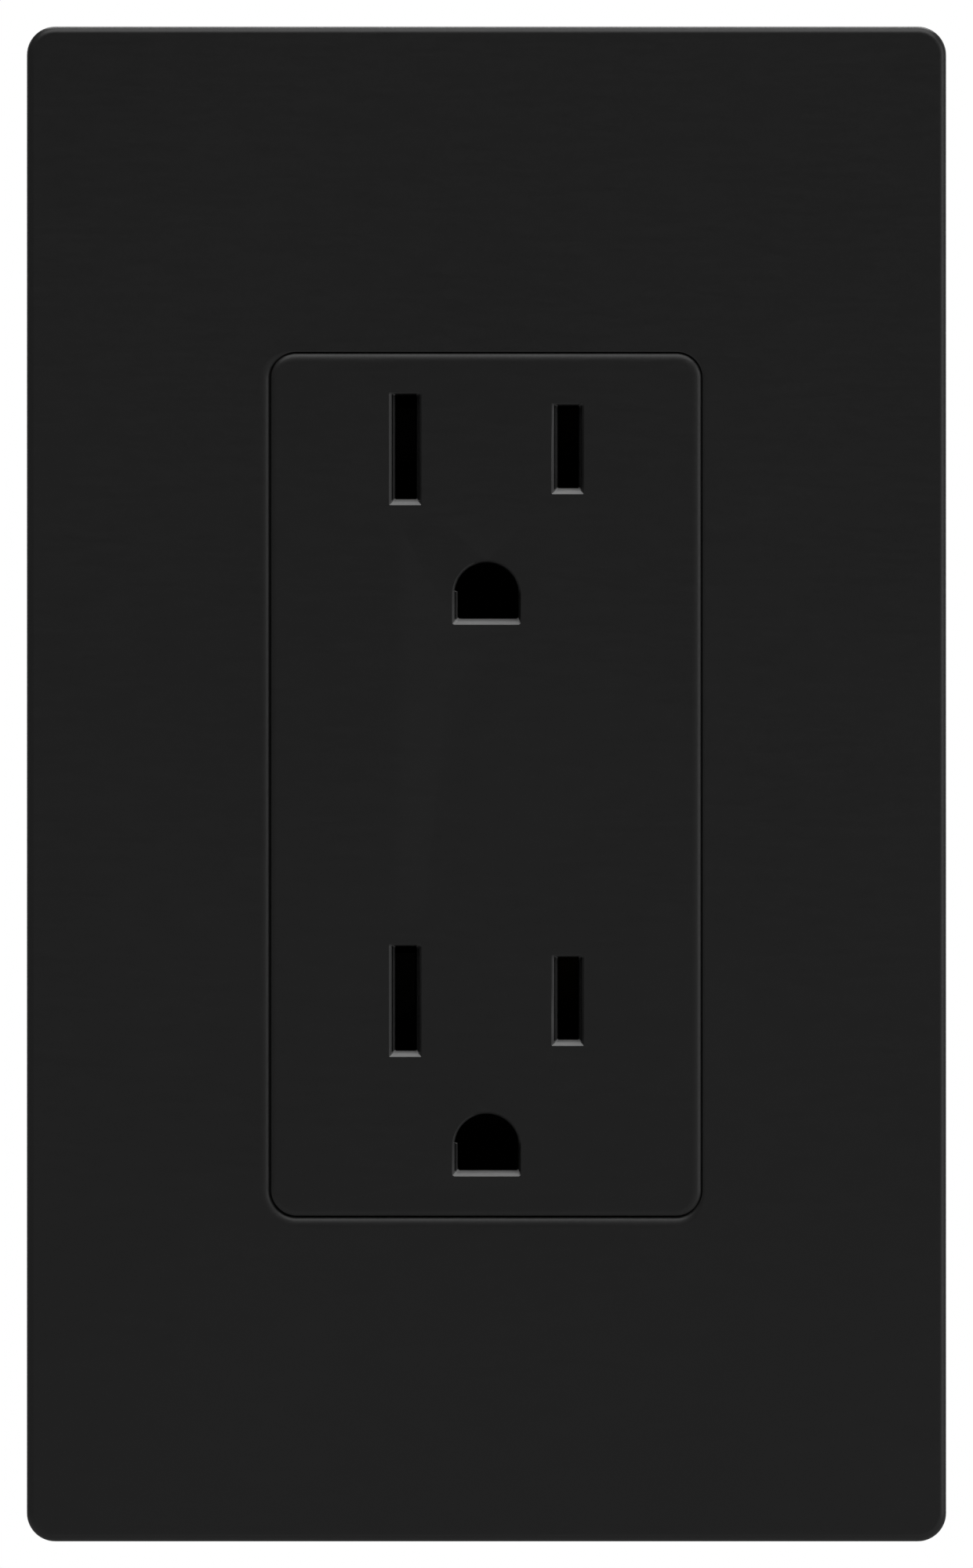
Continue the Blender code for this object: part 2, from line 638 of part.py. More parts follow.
def make_ground_strip():
    """Ground stamping behind the strap: a foot riveted to the web and a pair of leaves for each ground pin."""
    half = GROUND_STRIP_X
    upper, lower = GROUP_Z - GROUND_DROP, -GROUP_Z - GROUND_DROP
    ends = ((upper - 3.6, upper - 2.8, upper + 2.3), (lower + 3.6, lower + 2.8, lower - 2.3))
    foot = slab(
        [
            rectangle(both(half), (ends[1][1], ends[0][1]), 0.3, 1),
            circle((0, RIVET_Z), 1.5, 12),
            circle((0, -RIVET_Z), 1.5, 12),
        ],
        (0.3, 1.1),
    )
    strip = piece("ground_contact_strip", foot, BRASS)
    for near, far, tip in ends:
        add(strip, boxes((both(half - 0.02), (0.5, 12.0), sorted((near, far)))))
        leaf = ((half - GROUND_LEAF, half), (2.4, 17.0), sorted((near + (far - near) * 0.1, tip)))
        add(strip, boxes(*on_both_sides(*leaf)))


def make_rivet(name, z):
    """A rivet through the strap web and the ground strip, with a head on each side."""
    profile = [(0, 2.2), (1.4, 2.2), (2.1, 1.8), (2.1, 1.5), (1.2, 1.5), (1.2, -1.4), (2.1, -1.4), (2.1, -1.8), (1.4, -2.1), (0, -2.1)]
    piece(name, turned(profile, 12), ZINC_STEEL, (0, 0, z), TO_ROOM)


def screw_profile(spec, dome=0.62):
    """A pan head over a plain shank with a pointed end; height 0 is under the head."""
    head, height, shank, length = spec["head"], spec["height"], spec["shank"], spec["length"]
    return [
        (0, height), (head * 0.55, height), (head * 0.86, height * 0.88), (head, height * dome), (head, 0),
        (shank, 0), (shank, 0.8 - length), (shank - 0.6, -length), (0, -length),
    ]


def cross_recess(screw, spec, at, turn):
    """A straight slot over the whole head and a shorter one across it."""
    deep = spec["height"] * 0.45
    width = 0.5
    y_slot = (both(width), both(spec["head"] + 0.5), (spec["height"] - deep, spec["height"] + 1.0))
    x_slot = (both(spec["head"] * 0.55), both(width), (spec["height"] - deep, spec["height"] + 1.0))
    cut(screw, boxes(y_slot), at, turn)
    cut(screw, boxes(x_slot), at, turn)


def make_screw(name, spec, look, at, turn):
    screw = piece(name, turned(screw_profile(spec)), look, at, turn)
    cross_recess(screw, spec, at, turn)


def make_clamp(name, look, at, turn):
    """A pressure plate under a terminal screw, with a wire groove on each side of the screw."""
    outline = rectangle(both(CLAMP_HALF), both(CLAMP_HALF), 0.8, 2)
    hole = circle((0, 0), TERMINAL_SCREW["shank"] + 0.4)
    plate = slab([outline, hole], (-CLAMP_THICK, 0.0))
    plate.transform(Matrix.Rotation(-QUARTER, 4, "X"))
    clamp = piece(name, plate, look, at, turn)
    grooves = [(0.75, (u, -5.5, 0.0), (u, 5.5, 0.0)) for u in (-WIRE_OFFSET, WIRE_OFFSET)]
    cut(clamp, rods(*grooves, steps=12), at, turn)


def make_terminal(kind, across, level, z, look):
    """A screw and its clamp on the side of the body."""
    turn = TO_RIGHT if across > 0 else TO_LEFT
    make_clamp(f"{kind}_clamp_plate_{level}", look, (across * CLAMP_SEAT, TERMINAL_Y, z), turn)
    make_screw(f"{kind}_terminal_screw_{level}", TERMINAL_SCREW, look, (across * TERMINAL_SEAT, TERMINAL_Y, z), turn)


def make_ground_terminal():
    seat = GROUND_TAB_X[0] - GAP
    place = (GROUND_TERMINAL_Y, GROUND_TERMINAL_Z)
    make_clamp("ground_clamp_plate", GREEN_STEEL, (seat, *place), TO_LEFT)
    screw_seat = seat - CLAMP_THICK - GAP
    make_screw("ground_terminal_screw", TERMINAL_SCREW, GREEN_STEEL, (screw_seat, *place), TO_LEFT)


def make_plate_screw(name, z):
    """The countersunk screw that holds the adapter to the strap."""
    head, shank = PLATE_SCREW_HEAD, PLATE_SCREW_SHANK
    tip = ADAPTER_FRONT - PLATE_SCREW_TIP
    cone = shank - head
    profile = [(0, 0), (head, 0), (head, -0.1), (shank, cone - 0.1), (shank, tip + 0.6), (shank - 0.5, tip), (0, tip)]
    place = (0, ADAPTER_FRONT, z)
    screw = piece(name, turned(profile), ZINC_STEEL, place, TO_ROOM)
    cut(screw, boxes((both(0.45), both(head + 0.5), (-0.8, 1.0))), place, TO_ROOM)


def make_mounting_set(level, z):
    """A captive mounting screw in its strap slot, and the fibre square that keeps it there."""
    make_screw(f"mounting_screw_{level}", MOUNTING_SCREW, ZINC_STEEL, (0, STRAP_FRONT - GAP, z), TO_ROOM)
    square = slab(
        [rectangle(both(4.3), both(3.5), 0.6, 1), circle((0, 0), MOUNTING_SCREW["shank"] + GAP)],
        (RETAINER_Y, RETAINER_Y + 0.8),
    )
    piece(f"screw_retainer_{level}", square, FIBRE, (0, 0, z))


clear_scene()
OUTLET = new_collection("duplex_wall_outlet")
CUTTERS = new_collection("cutters")

make_faceplate()
make_adapter()
make_front_cover()
make_strap()
make_rear_body()
make_contact_strip("hot_contact_strip", 1, BRASS)
make_contact_strip("neutral_contact_strip", -1, NICKEL)
make_ground_strip()
make_rivet("ground_rivet_upper", RIVET_Z)
make_rivet("ground_rivet_lower", -RIVET_Z)
for level, side in (("upper", 1), ("lower", -1)):
    make_terminal("hot", 1, level, side * TERMINAL_Z, BRASS)
    make_terminal("neutral", -1, level, side * TERMINAL_Z, NICKEL)
    make_plate_screw(f"plate_screw_{level}", side * PLATE_SCREW_Z)
    make_mounting_set(level, side * MOUNT_Z)
    for hand, across in (("left", -1), ("right", 1)):
        place = (across * ASSEMBLY_X, BODY_SCREW_SEAT + GAP, side * ASSEMBLY_Z)
        make_screw(f"assembly_screw_{level}_{hand}", ASSEMBLY_SCREW, ZINC_STEEL, place, TO_BOX)
make_ground_terminal()
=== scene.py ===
"""Looks of the duplex wall outlet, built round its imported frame.

Meshes are built in millimetres in the object's own frame and scaled to metres when a piece is finished.
X runs right seen from the room, Z up, Y into the wall, and the wall plane is y = 0.
"""
import math

import bmesh
import bpy
from mathutils import Matrix, Vector


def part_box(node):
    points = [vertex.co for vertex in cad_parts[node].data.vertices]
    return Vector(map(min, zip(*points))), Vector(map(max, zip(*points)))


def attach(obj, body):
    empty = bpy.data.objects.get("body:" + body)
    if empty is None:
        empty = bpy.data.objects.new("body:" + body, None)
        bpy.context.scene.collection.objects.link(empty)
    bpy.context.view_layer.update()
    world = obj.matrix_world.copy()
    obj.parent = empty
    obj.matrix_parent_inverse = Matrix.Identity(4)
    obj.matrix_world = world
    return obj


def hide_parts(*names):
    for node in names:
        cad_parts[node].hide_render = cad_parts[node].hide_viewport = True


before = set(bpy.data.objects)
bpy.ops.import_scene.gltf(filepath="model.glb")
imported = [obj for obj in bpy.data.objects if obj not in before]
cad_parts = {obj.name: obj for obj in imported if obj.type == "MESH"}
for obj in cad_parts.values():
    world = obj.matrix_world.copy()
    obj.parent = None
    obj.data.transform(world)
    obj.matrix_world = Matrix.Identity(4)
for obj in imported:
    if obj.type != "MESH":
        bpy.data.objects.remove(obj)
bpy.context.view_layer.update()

MM = 0.001
WELD = 1e-4
QUARTER = math.pi / 2
TO_ROOM = (QUARTER, 0.0, 0.0)
TO_BOX = (-QUARTER, 0.0, 0.0)
TO_RIGHT = (0.0, QUARTER, 0.0)
TO_LEFT = (0.0, -QUARTER, 0.0)
LEVELS = (("upper", 1), ("lower", -1))

# Window in the cover, and the gap round the face in it
WINDOW_W = 33.32
WINDOW_H = 66.72
WINDOW_CORNER = 2.0
FACE_GAP = 0.01

# Outlet pattern
GROUP_Z = 21.3
BLADE_RISE = 4.9
GROUND_DROP = 6.85
BLADE_X = 6.35

# Snap nibs of the cover
NIB_Z = (-36.0, -12.0, 12.0, 36.0)

# Fasteners
MOUNT_Z = 41.67
PLATE_SCREW_Z = 48.42
ASSEMBLY_X = 13.2
ASSEMBLY_Z = 29.9
RIVET_Z = 6.5
TERMINAL_Y = 13.2
TERMINAL_Z = 9.5
GROUND_Y = 6.2
GROUND_Z = -38.1
PITCH = 0.79375
# Head radius and height, thread radius and length
TERMINAL_SCREW = (3.7, 2.0, 1.9, 6.2)


# Guides and cutters are built in this collection, which is removed at the end
BENCH = bpy.data.collections.new("bench")
bpy.context.scene.collection.children.link(BENCH)


# ---------------------------------------------------------------- shapes

def both(half):
    return (-half, half)


def add_box(bm, x, y, z):
    size = Vector((x[1] - x[0], y[1] - y[0], z[1] - z[0]))
    centre = Vector((x[0] + x[1], y[0] + y[1], z[0] + z[1])) / 2
    bmesh.ops.create_cube(bm, size=1.0, matrix=Matrix.Translation(centre) @ Matrix.Diagonal((*size, 1.0)))


def boxes(*limits):
    bm = bmesh.new()
    for x, y, z in limits:
        add_box(bm, x, y, z)
    return bm


def on_both_sides(x, y, z):
    return ((x, y, z), ((-x[1], -x[0]), y, z))


def rods(*specs, steps=40, taper=1.0):
    """Cylinders, each given as its radius and its two ends; taper scales the far radius."""
    bm = bmesh.new()
    for radius, start, end in specs:
        start, end = Vector(start), Vector(end)
        along = end - start
        turn = along.to_track_quat("Z", "Y").to_matrix().to_4x4()
        bmesh.ops.create_cone(
            bm, cap_ends=True, segments=steps, radius1=radius, radius2=radius * taper,
            depth=along.length, matrix=Matrix.Translation((start + end) / 2) @ turn,
        )
    return bm


def round_edges(bm, wanted, radius, steps):
    edges = [edge for edge in bm.edges if wanted(*(vert.co for vert in edge.verts))]
    bmesh.ops.bevel(
        bm, geom=edges, offset=radius, offset_type="OFFSET", segments=steps, profile=0.5,
        affect="EDGES", clamp_overlap=False,
    )


def rounded_box(x, y, z, corner, front=0.0, rear=0.0, corner_steps=10, edge_steps=6):
    """A box with its four edges along Y rounded, and then its front and rear rims."""
    bm = boxes((x, y, z))
    round_edges(bm, lambda a, b: abs(a.x - b.x) < WELD and abs(a.z - b.z) < WELD, corner, corner_steps)
    for radius, rim in ((front, y[0]), (rear, y[1])):
        if radius:
            round_edges(bm, lambda a, b: abs(a.y - rim) < WELD and abs(b.y - rim) < WELD, radius, edge_steps)
    return bm


def arc(centre, radius, start, end, steps):
    """Points along an arc, both ends included, angles in right angles."""
    points = []
    for i in range(steps + 1):
        angle = QUARTER * (start + (end - start) * i / steps)
        points.append((centre[0] + radius * math.cos(angle), centre[1] + radius * math.sin(angle)))
    return points


def circle(centre, radius, steps=40):
    return arc(centre, radius, 0, 4, steps)[:-1]


def rounded_outline(corners, steps=6):
    """The outline through corners of (u, v, radius), each corner rounded by its radius."""
    points = []
    for i, (u, v, radius) in enumerate(corners):
        here = Vector((u, v))
        back = (Vector(corners[i - 1][:2]) - here).normalized()
        ahead = (Vector(corners[(i + 1) % len(corners)][:2]) - here).normalized()
        if not radius:
            points.append((u, v))
            continue
        half_angle = back.angle(ahead) / 2
        reach = radius / math.tan(half_angle)
        centre = here + (back + ahead).normalized() * radius / math.sin(half_angle)
        first = here + back * reach - centre
        sweep = first.angle_signed(here + ahead * reach - centre)
        for j in range(steps + 1):
            points.append(tuple(centre + Matrix.Rotation(-sweep * j / steps, 2) @ first))
    return points


def rectangle(u, v, radius, steps=6):
    corners = ((u[0], v[0]), (u[1], v[0]), (u[1], v[1]), (u[0], v[1]))
    return rounded_outline([(*corner, radius) for corner in corners], steps)


def evaluated(guide):
    """The evaluated mesh of a guide as a bmesh in world space; the guide is removed."""
    if guide.name not in BENCH.objects:
        BENCH.objects.link(guide)
    bpy.context.view_layer.update()
    mesh = bpy.data.meshes.new_from_object(guide.evaluated_get(bpy.context.evaluated_depsgraph_get()))
    bm = bmesh.new()
    bm.from_mesh(mesh)
    bm.transform(guide.matrix_world)
    bpy.data.meshes.remove(mesh)
    bpy.data.objects.remove(guide)
    return bm


def cleaned(bm):
    bmesh.ops.remove_doubles(bm, verts=bm.verts, dist=WELD)
    bmesh.ops.recalc_face_normals(bm, faces=bm.faces)
    return bm


def slab(outlines, y, edge=0.0):
    """Outlines of (x, z) points filled and made thick over the y span, with edges rounded by edge."""
    curve = bpy.data.curves.new("outline", "CURVE")
    curve.dimensions = "2D"
    curve.fill_mode = "BOTH"
    curve.extrude = (y[1] - y[0]) / 2 - edge
    curve.bevel_depth = edge
    curve.bevel_resolution = 2
    curve.offset = -edge
    for outline in outlines:
        spline = curve.splines.new("POLY")
        spline.points.add(len(outline) - 1)
        for point, (u, v) in zip(spline.points, outline):
            point.co = (u, v, 0.0, 1.0)
        spline.use_cyclic_u = True
    guide = bpy.data.objects.new("outline", curve)
    guide.location = (0.0, (y[0] + y[1]) / 2, 0.0)
    guide.rotation_euler = TO_ROOM
    return cleaned(evaluated(guide))


def loft(rings):
    """A solid through rings of (x, y, z) points, as many in each ring; the end rings are flat."""
    bm = bmesh.new()
    loops = [[bm.verts.new(point) for point in ring] for ring in rings]
    for near, far in zip(loops, loops[1:]):
        for i in range(len(near)):
            bm.faces.new((near[i - 1], near[i], far[i], far[i - 1]))
    bm.faces.new(loops[0])
    bm.faces.new(loops[-1])
    bmesh.ops.recalc_face_normals(bm, faces=bm.faces)
    return bm


def turned(profile, steps=48, rise=0.0, turns=1):
    """A profile of (radius, height), down its outer side, turned about Z; rise makes it a helix."""
    mesh = bpy.data.meshes.new("profile")
    mesh.from_pydata([(r, 0.0, h) for r, h in profile], [(i, i + 1) for i in range(len(profile) - 1)], [])
    guide = bpy.data.objects.new("profile", mesh)
    screw = guide.modifiers.new("turn", "SCREW")
    screw.axis = "Z"
    screw.steps = screw.render_steps = steps
    screw.screw_offset = rise
    screw.iterations = turns
    screw.use_merge_vertices = True
    screw.merge_threshold = WELD
    return cleaned(evaluated(guide))


def threaded(radius, top, tip):
    """A right-hand threaded rod from height top down to tip, with a chamfered end."""
    depth, chamfer = 0.32, 0.65
    root = radius - depth
    flank = root + depth * 0.12
    shape = (
        (root, 1.0), (root, 0.9), (flank, 0.86), (radius, 0.5), (radius, 0.4), (flank, 0.04), (root, 0.0),
    )
    profile = [(r, h * PITCH) for r, h in shape]
    bm = turned(profile, steps=28, rise=PITCH, turns=int((top - tip) / PITCH) + 3)
    bmesh.ops.translate(bm, vec=(0, 0, tip - PITCH), verts=bm.verts)
    for height, keep_below in ((top, True), (tip, False)):
        bmesh.ops.bisect_plane(
            bm, geom=bm.verts[:] + bm.edges[:] + bm.faces[:], dist=WELD, plane_co=(0, 0, height),
            plane_no=(0, 0, 1 if keep_below else -1), clear_outer=True,
        )
    for vert in bm.verts:
        limit = radius - chamfer + (vert.co.z - tip)
        reach = math.hypot(vert.co.x, vert.co.y)
        if reach > limit:
            vert.co.x *= limit / reach
            vert.co.y *= limit / reach
    bmesh.ops.holes_fill(bm, edges=[e for e in bm.edges if e.is_boundary], sides=0)
    bmesh.ops.recalc_face_normals(bm, faces=bm.faces)
    return bm


def bent_sheet(path, thickness, z):
    """A strip of sheet metal along a path of (x, y) points with rounded bends, as wide as the z span."""
    bend, steps = 0.45, 4
    corners = [Vector((u, v)) for u, v in path]
    line = [corners[0]]
    for before, here, after in zip(corners, corners[1:], corners[2:]):
        back, ahead = (before - here).normalized(), (after - here).normalized()
        reach = bend / math.tan(back.angle(ahead) / 2)
        reach = min(reach, (before - here).length / 2, (after - here).length / 2)
        start, end = here + back * reach, here + ahead * reach
        for i in range(steps + 1):
            t = i / steps
            line.append(start * (1 - t) ** 2 + here * 2 * t * (1 - t) + end * t * t)
    line.append(corners[-1])
    bm = bmesh.new()
    verts = [bm.verts.new((p.x, p.y, z[0])) for p in line]
    edges = [bm.edges.new(pair) for pair in zip(verts, verts[1:])]
    made = bmesh.ops.extrude_edge_only(bm, edges=edges)["geom"]
    bmesh.ops.translate(
        bm, vec=(0, 0, z[1] - z[0]), verts=[v for v in made if isinstance(v, bmesh.types.BMVert)]
    )
    mesh = bpy.data.meshes.new("sheet")
    bm.to_mesh(mesh)
    bm.free()
    guide = bpy.data.objects.new("sheet", mesh)
    solid = guide.modifiers.new("sheet", "SOLIDIFY")
    solid.thickness = thickness
    solid.offset = 0.0
    solid.use_even_offset = True
    return cleaned(evaluated(guide))


def guide_of(bm):
    mesh = bpy.data.meshes.new("guide")
    bm.to_mesh(mesh)
    bm.free()
    guide = bpy.data.objects.new("guide", mesh)
    BENCH.objects.link(guide)
    return guide


def combined(base, *steps, edge=0.0):
    """Cuts and adds shapes, given as (operation, bmesh), to a base, then softens its sharp edges by edge."""
    guide = guide_of(base)
    helpers = []
    for operation, bm in steps:
        helper = guide_of(bm)
        helpers.append(helper)
        modifier = guide.modifiers.new("step", "BOOLEAN")
        modifier.operation = {"cut": "DIFFERENCE", "add": "UNION"}[operation]
        modifier.solver = "EXACT"
        modifier.object = helper
    if edge:
        soften = guide.modifiers.new("soften", "BEVEL")
        soften.width = edge
        soften.segments = 2
        soften.limit_method = "ANGLE"
        soften.angle_limit = math.radians(40)
        soften.miter_outer = "MITER_ARC"
        soften.use_clamp_overlap = True
    bm = evaluated(guide)
    for helper in helpers:
        bpy.data.objects.remove(helper)
    return bm


def mark(bm, name, amount):
    """Stores on each face the amount, 0 to 1, that a function gives for it, for its material to read."""
    layer = bm.faces.layers.float.new(name)
    for face in bm.faces:
        face[layer] = float(amount(face))


def merged(*parts):
    """One mesh of several closed shells."""
    bm = bmesh.new()
    for part in parts:
        mesh = bpy.data.meshes.new("part")
        part.to_mesh(mesh)
        part.free()
        bm.from_mesh(mesh)
        bpy.data.meshes.remove(mesh)
    return bm


def piece(name, bm, material, body, nodes, at=(0, 0, 0), turn=(0, 0, 0)):
    """A finished piece: in metres, smooth with sharp edges kept, riding on a body in place of CAD nodes."""
    bmesh.ops.scale(bm, vec=(MM, MM, MM), verts=bm.verts)
    mesh = bpy.data.meshes.new(name)
    bm.to_mesh(mesh)
    bm.free()
    mesh.set_sharp_from_angle(angle=math.radians(32))
    mesh.materials.append(material)
    made = bpy.data.objects.new(name, mesh)
    made.location = Vector(at) * MM
    made.rotation_euler = turn
    bpy.context.scene.collection.objects.link(made)
    weigh = made.modifiers.new("normals", "WEIGHTED_NORMAL")
    weigh.keep_sharp = True
    weigh.weight = 100
    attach(made, body)
    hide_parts(*nodes)
    return made


# ---------------------------------------------------------------- materials

class Nodes:
    """A material's node tree with short calls for its nodes."""

    def __init__(self, name):
        self.material = bpy.data.materials.new(name)
        self.material.use_nodes = True
        self.tree = self.material.node_tree
        self.shader = self.tree.nodes["Principled BSDF"]
        self.where = self.tree.nodes.new("ShaderNodeTexCoord").outputs["Object"]

    def add(self, kind, inputs=(), **settings):
        node = self.tree.nodes.new(kind)
        for key, value in settings.items():
            setattr(node, key, value)
        for key, value in dict(inputs).items():
            if isinstance(value, bpy.types.NodeSocket):
                self.tree.links.new(value, node.inputs[key])
            else:
                node.inputs[key].default_value = value
        return node

    def noise(self, scale, detail=4.0, roughness=0.55, stretch=None):
        place = self.where
        if stretch:
            place = self.add("ShaderNodeMapping", {"Vector": place, "Scale": stretch}).outputs[0]
        return self.add(
            "ShaderNodeTexNoise", {"Vector": place, "Scale": scale, "Detail": detail, "Roughness": roughness}
        ).outputs["Fac"]

    def cells(self, scale):
        return self.add("ShaderNodeTexVoronoi", {"Vector": self.where, "Scale": scale})

    def total(self, a, b):
        return self.add("ShaderNodeMath", {0: a, 1: b}, operation="ADD").outputs[0]

    def stored(self, name):
        """The value that mark() put on the faces, or 0 where the mesh has none."""
        return self.add("ShaderNodeAttribute", attribute_name=name).outputs["Fac"]

    def ramp(self, factor, stops):
        node = self.add("ShaderNodeValToRGB", {"Fac": factor})
        elements = node.color_ramp.elements
        while len(elements) < len(stops):
            elements.new(0.5)
        for element, (position, colour) in zip(elements, stops):
            element.position = position
            element.color = (*colour, 1.0)
        return node.outputs["Color"]

    def span(self, value, low, high, start=0.3, end=0.7):
        """value between start and end mapped to low and high."""
        return self.add(
            "ShaderNodeMapRange",
            {"Value": value, "From Min": start, "From Max": end, "To Min": low, "To Max": high},
        ).outputs["Result"]

    def mix(self, factor, a, b):
        node = self.add("ShaderNodeMix", data_type="RGBA")
        for socket, value in ((node.inputs[0], factor), (node.inputs[6], a), (node.inputs[7], b)):
            if isinstance(value, bpy.types.NodeSocket):
                self.tree.links.new(value, socket)
            else:
                socket.default_value = value if isinstance(value, float) else (*value, 1.0)
        return node.outputs[2]

    def bump(self, height, strength, distance, under=None):
        inputs = {"Height": height, "Strength": strength, "Distance": distance}
        if under:
            inputs["Normal"] = under
        return self.add("ShaderNodeBump", inputs).outputs["Normal"]

    def set(self, **sockets):
        for key, value in sockets.items():
            socket = self.shader.inputs[key.replace("_", " ")]
            if isinstance(value, bpy.types.NodeSocket):
                self.tree.links.new(value, socket)
            else:
                socket.default_value = value


def shade(colour, factor):
    return tuple(min(1.0, c * factor) for c in colour)


def moulded(name, colour, rough, grain, depth, highlight_colour=None):
    """Moulded plastic: fine grain, flow marks, scuffs and edges worn paler; marked faces get a painted
    highlight in a paler colour.
    """
    n = Nodes(name)
    base = n.ramp(n.noise(38.0, detail=3.0), [(0.3, shade(colour, 0.96)), (0.7, shade(colour, 1.04))])
    edge = n.add("ShaderNodeNewGeometry").outputs["Pointiness"]
    base = n.mix(n.span(edge, 0.0, 0.3, 0.54, 0.62), base, shade(colour, 1.4))
    scuff = n.noise(260.0, detail=5.0, roughness=0.7, stretch=(1.0, 1.0, 7.0))
    pits = n.noise(grain, detail=2.0, roughness=0.6)
    gloss = n.total(n.span(scuff, rough - 0.03, rough + 0.03), n.span(pits, -0.02, 0.02))
    # Marked faces are mixed toward the paler colour: a painted highlight for faces that look towards the
    # lamps.
    if highlight_colour:
        painted_lit_tone = n.ramp(scuff, [(0.3, shade(highlight_colour, 0.85)), (0.7, shade(highlight_colour, 1.15))])
        base = n.mix(n.stored("painted_highlight"), base, painted_lit_tone)
    n.set(Base_Color=base, Roughness=gloss, IOR=1.5)
    flow = n.bump(n.noise(60.0, detail=2.0), 0.12, 0.00002)
    n.set(Normal=n.bump(pits, 0.5, depth, under=flow))
    return n.material


def sheet_steel(name, colour, rough):
    """Galvanised sheet: crystal spangle in tone and gloss, rolling lines and small dents."""
    n = Nodes(name)
    spangle = n.cells(330.0)
    tone = n.add("ShaderNodeSeparateColor", {"Color": spangle.outputs["Color"]}).outputs["Red"]
    base = n.ramp(tone, [(0.0, shade(colour, 0.82)), (1.0, shade(colour, 1.14))])
    dirt = n.noise(120.0, detail=6.0)
    n.set(Base_Color=n.mix(n.span(dirt, 0.0, 0.4, 0.5, 0.75), base, shade(colour, 0.6)))
    rolled = n.noise(900.0, detail=3.0, stretch=(1.0, 1.0, 0.06))
    gloss = n.total(n.span(tone, rough - 0.08, rough + 0.08, 0.0, 1.0), n.span(rolled, -0.05, 0.05))
    n.set(Roughness=gloss, Metallic=1.0)
    ridge = n.bump(spangle.outputs["Distance"], 0.15, 0.00003)
    n.set(Normal=n.bump(rolled, 0.25, 0.00002, under=ridge))
    return n.material


def plated(name, colour, tint, rough, tarnish_and_shade):
    """Plated or bare metal: cloudy tint, die lines and rougher, tarnished patches; marked faces are painted
    near black as painted shade.
    """
    n = Nodes(name)
    cloud = n.noise(240.0, detail=4.0)
    base = n.ramp(cloud, [(0.35, colour), (0.7, tint)])
    stain = n.noise(420.0, detail=6.0, roughness=0.7)
    patch = n.span(stain, 0.0, tarnish_and_shade, 0.52, 0.74)
    stained = n.mix(patch, base, shade(colour, 0.45))
    # Marked faces are mixed to 5% of the colour: painted shade, so the clips deep in the slots read black.
    n.set(Base_Color=n.mix(n.stored("tarnish_and_shade"), stained, shade(colour, 0.05)))
    lines = n.noise(1600.0, detail=2.0, stretch=(1.0, 1.0, 0.08))
    gloss = n.total(n.span(stain, rough - 0.05, rough + 0.12, 0.3, 0.75), n.span(lines, -0.04, 0.04))
    n.set(Roughness=gloss, Metallic=1.0)
    n.set(Normal=n.bump(lines, 0.2, 0.000015, under=n.bump(cloud, 0.12, 0.00002)))
    return n.material


def pressed_fibre(name, colour):
    """Vulcanised fibre board: matted strands and flecks."""
    n = Nodes(name)
    strands = n.noise(700.0, detail=6.0, roughness=0.75, stretch=(1.0, 1.0, 3.5))
    flecks = n.noise(1900.0, detail=3.0)
    base = n.ramp(strands, [(0.3, shade(colour, 0.72)), (0.7, shade(colour, 1.12))])
    n.set(Base_Color=n.mix(n.span(flecks, 0.0, 0.5, 0.58, 0.7), base, shade(colour, 0.4)))
    n.set(Roughness=n.span(strands, 0.78, 0.95))
    n.set(Normal=n.bump(strands, 0.6, 0.00006))
    return n.material


BLACK = (0.02, 0.02, 0.02)
COVER_PLASTIC = moulded("cover_plastic", BLACK, 0.4, 5200.0, 0.000004)
# The pale grey on the face's marked faces is a painted highlight.
FACE_PLASTIC = moulded("face_plastic", BLACK, 0.4, 5200.0, 0.000004, highlight_colour=(0.23, 0.23, 0.23))
BODY_PLASTIC = moulded("body_plastic", (0.028, 0.028, 0.03), 0.5, 2600.0, 0.00002)
ADAPTER_PLASTIC = moulded("adapter_plastic", (0.036, 0.036, 0.038), 0.52, 2600.0, 0.00002)
GALVANISED = sheet_steel("galvanised_steel", (0.56, 0.575, 0.59), 0.4)
ZINC = plated("zinc_steel", (0.66, 0.66, 0.64), (0.62, 0.63, 0.68), 0.3, 0.35)
BRASS = plated("brass", (0.78, 0.53, 0.2), (0.7, 0.44, 0.15), 0.28, 0.4)
NICKEL = plated("nickel_plated_brass", (0.68, 0.65, 0.6), (0.6, 0.58, 0.55), 0.27, 0.3)
GREEN = plated("green_steel", (0.05, 0.36, 0.13), (0.03, 0.26, 0.1), 0.32, 0.35)
FIBRE = pressed_fibre("fibre", (0.5, 0.4, 0.27))


# ---------------------------------------------------------------- mouldings

def slot_shape(x, z):
    """A slot's outline, with points on its sides just short of its ends."""
    corner = 0.08
    left, right = x[0] + corner, x[1] - corner
    side_foot, side_top = z[0] + 0.15, z[1] - 0.25
    points = arc((right, z[1] - corner), corner, 0, 1, 2) + arc((left, z[1] - corner), corner, 1, 2, 2)
    points += [(x[0], side_top), (x[0], side_foot)]
    points += arc((left, z[0] + corner), corner, 2, 3, 2) + arc((right, z[0] + corner), corner, 3, 4, 2)
    return points + [(x[1], side_foot), (x[1], side_top)]


def arch(x, z):
    """An outline round x = 0: a half-round top of radius x[1], a flat bottom and a left side at x[0]."""
    radius, corner = x[1], 0.2
    centre_z = z[1] - radius
    points = arc((0, centre_z), radius, 0, 1.93, 31) + [(x[0], centre_z + 0.2)]
    points += arc((x[0] + corner, z[0] + corner), corner, 2, 3, 3)
    points += arc((x[1] - corner, z[0] + corner), corner, 3, 4, 3)
    return points


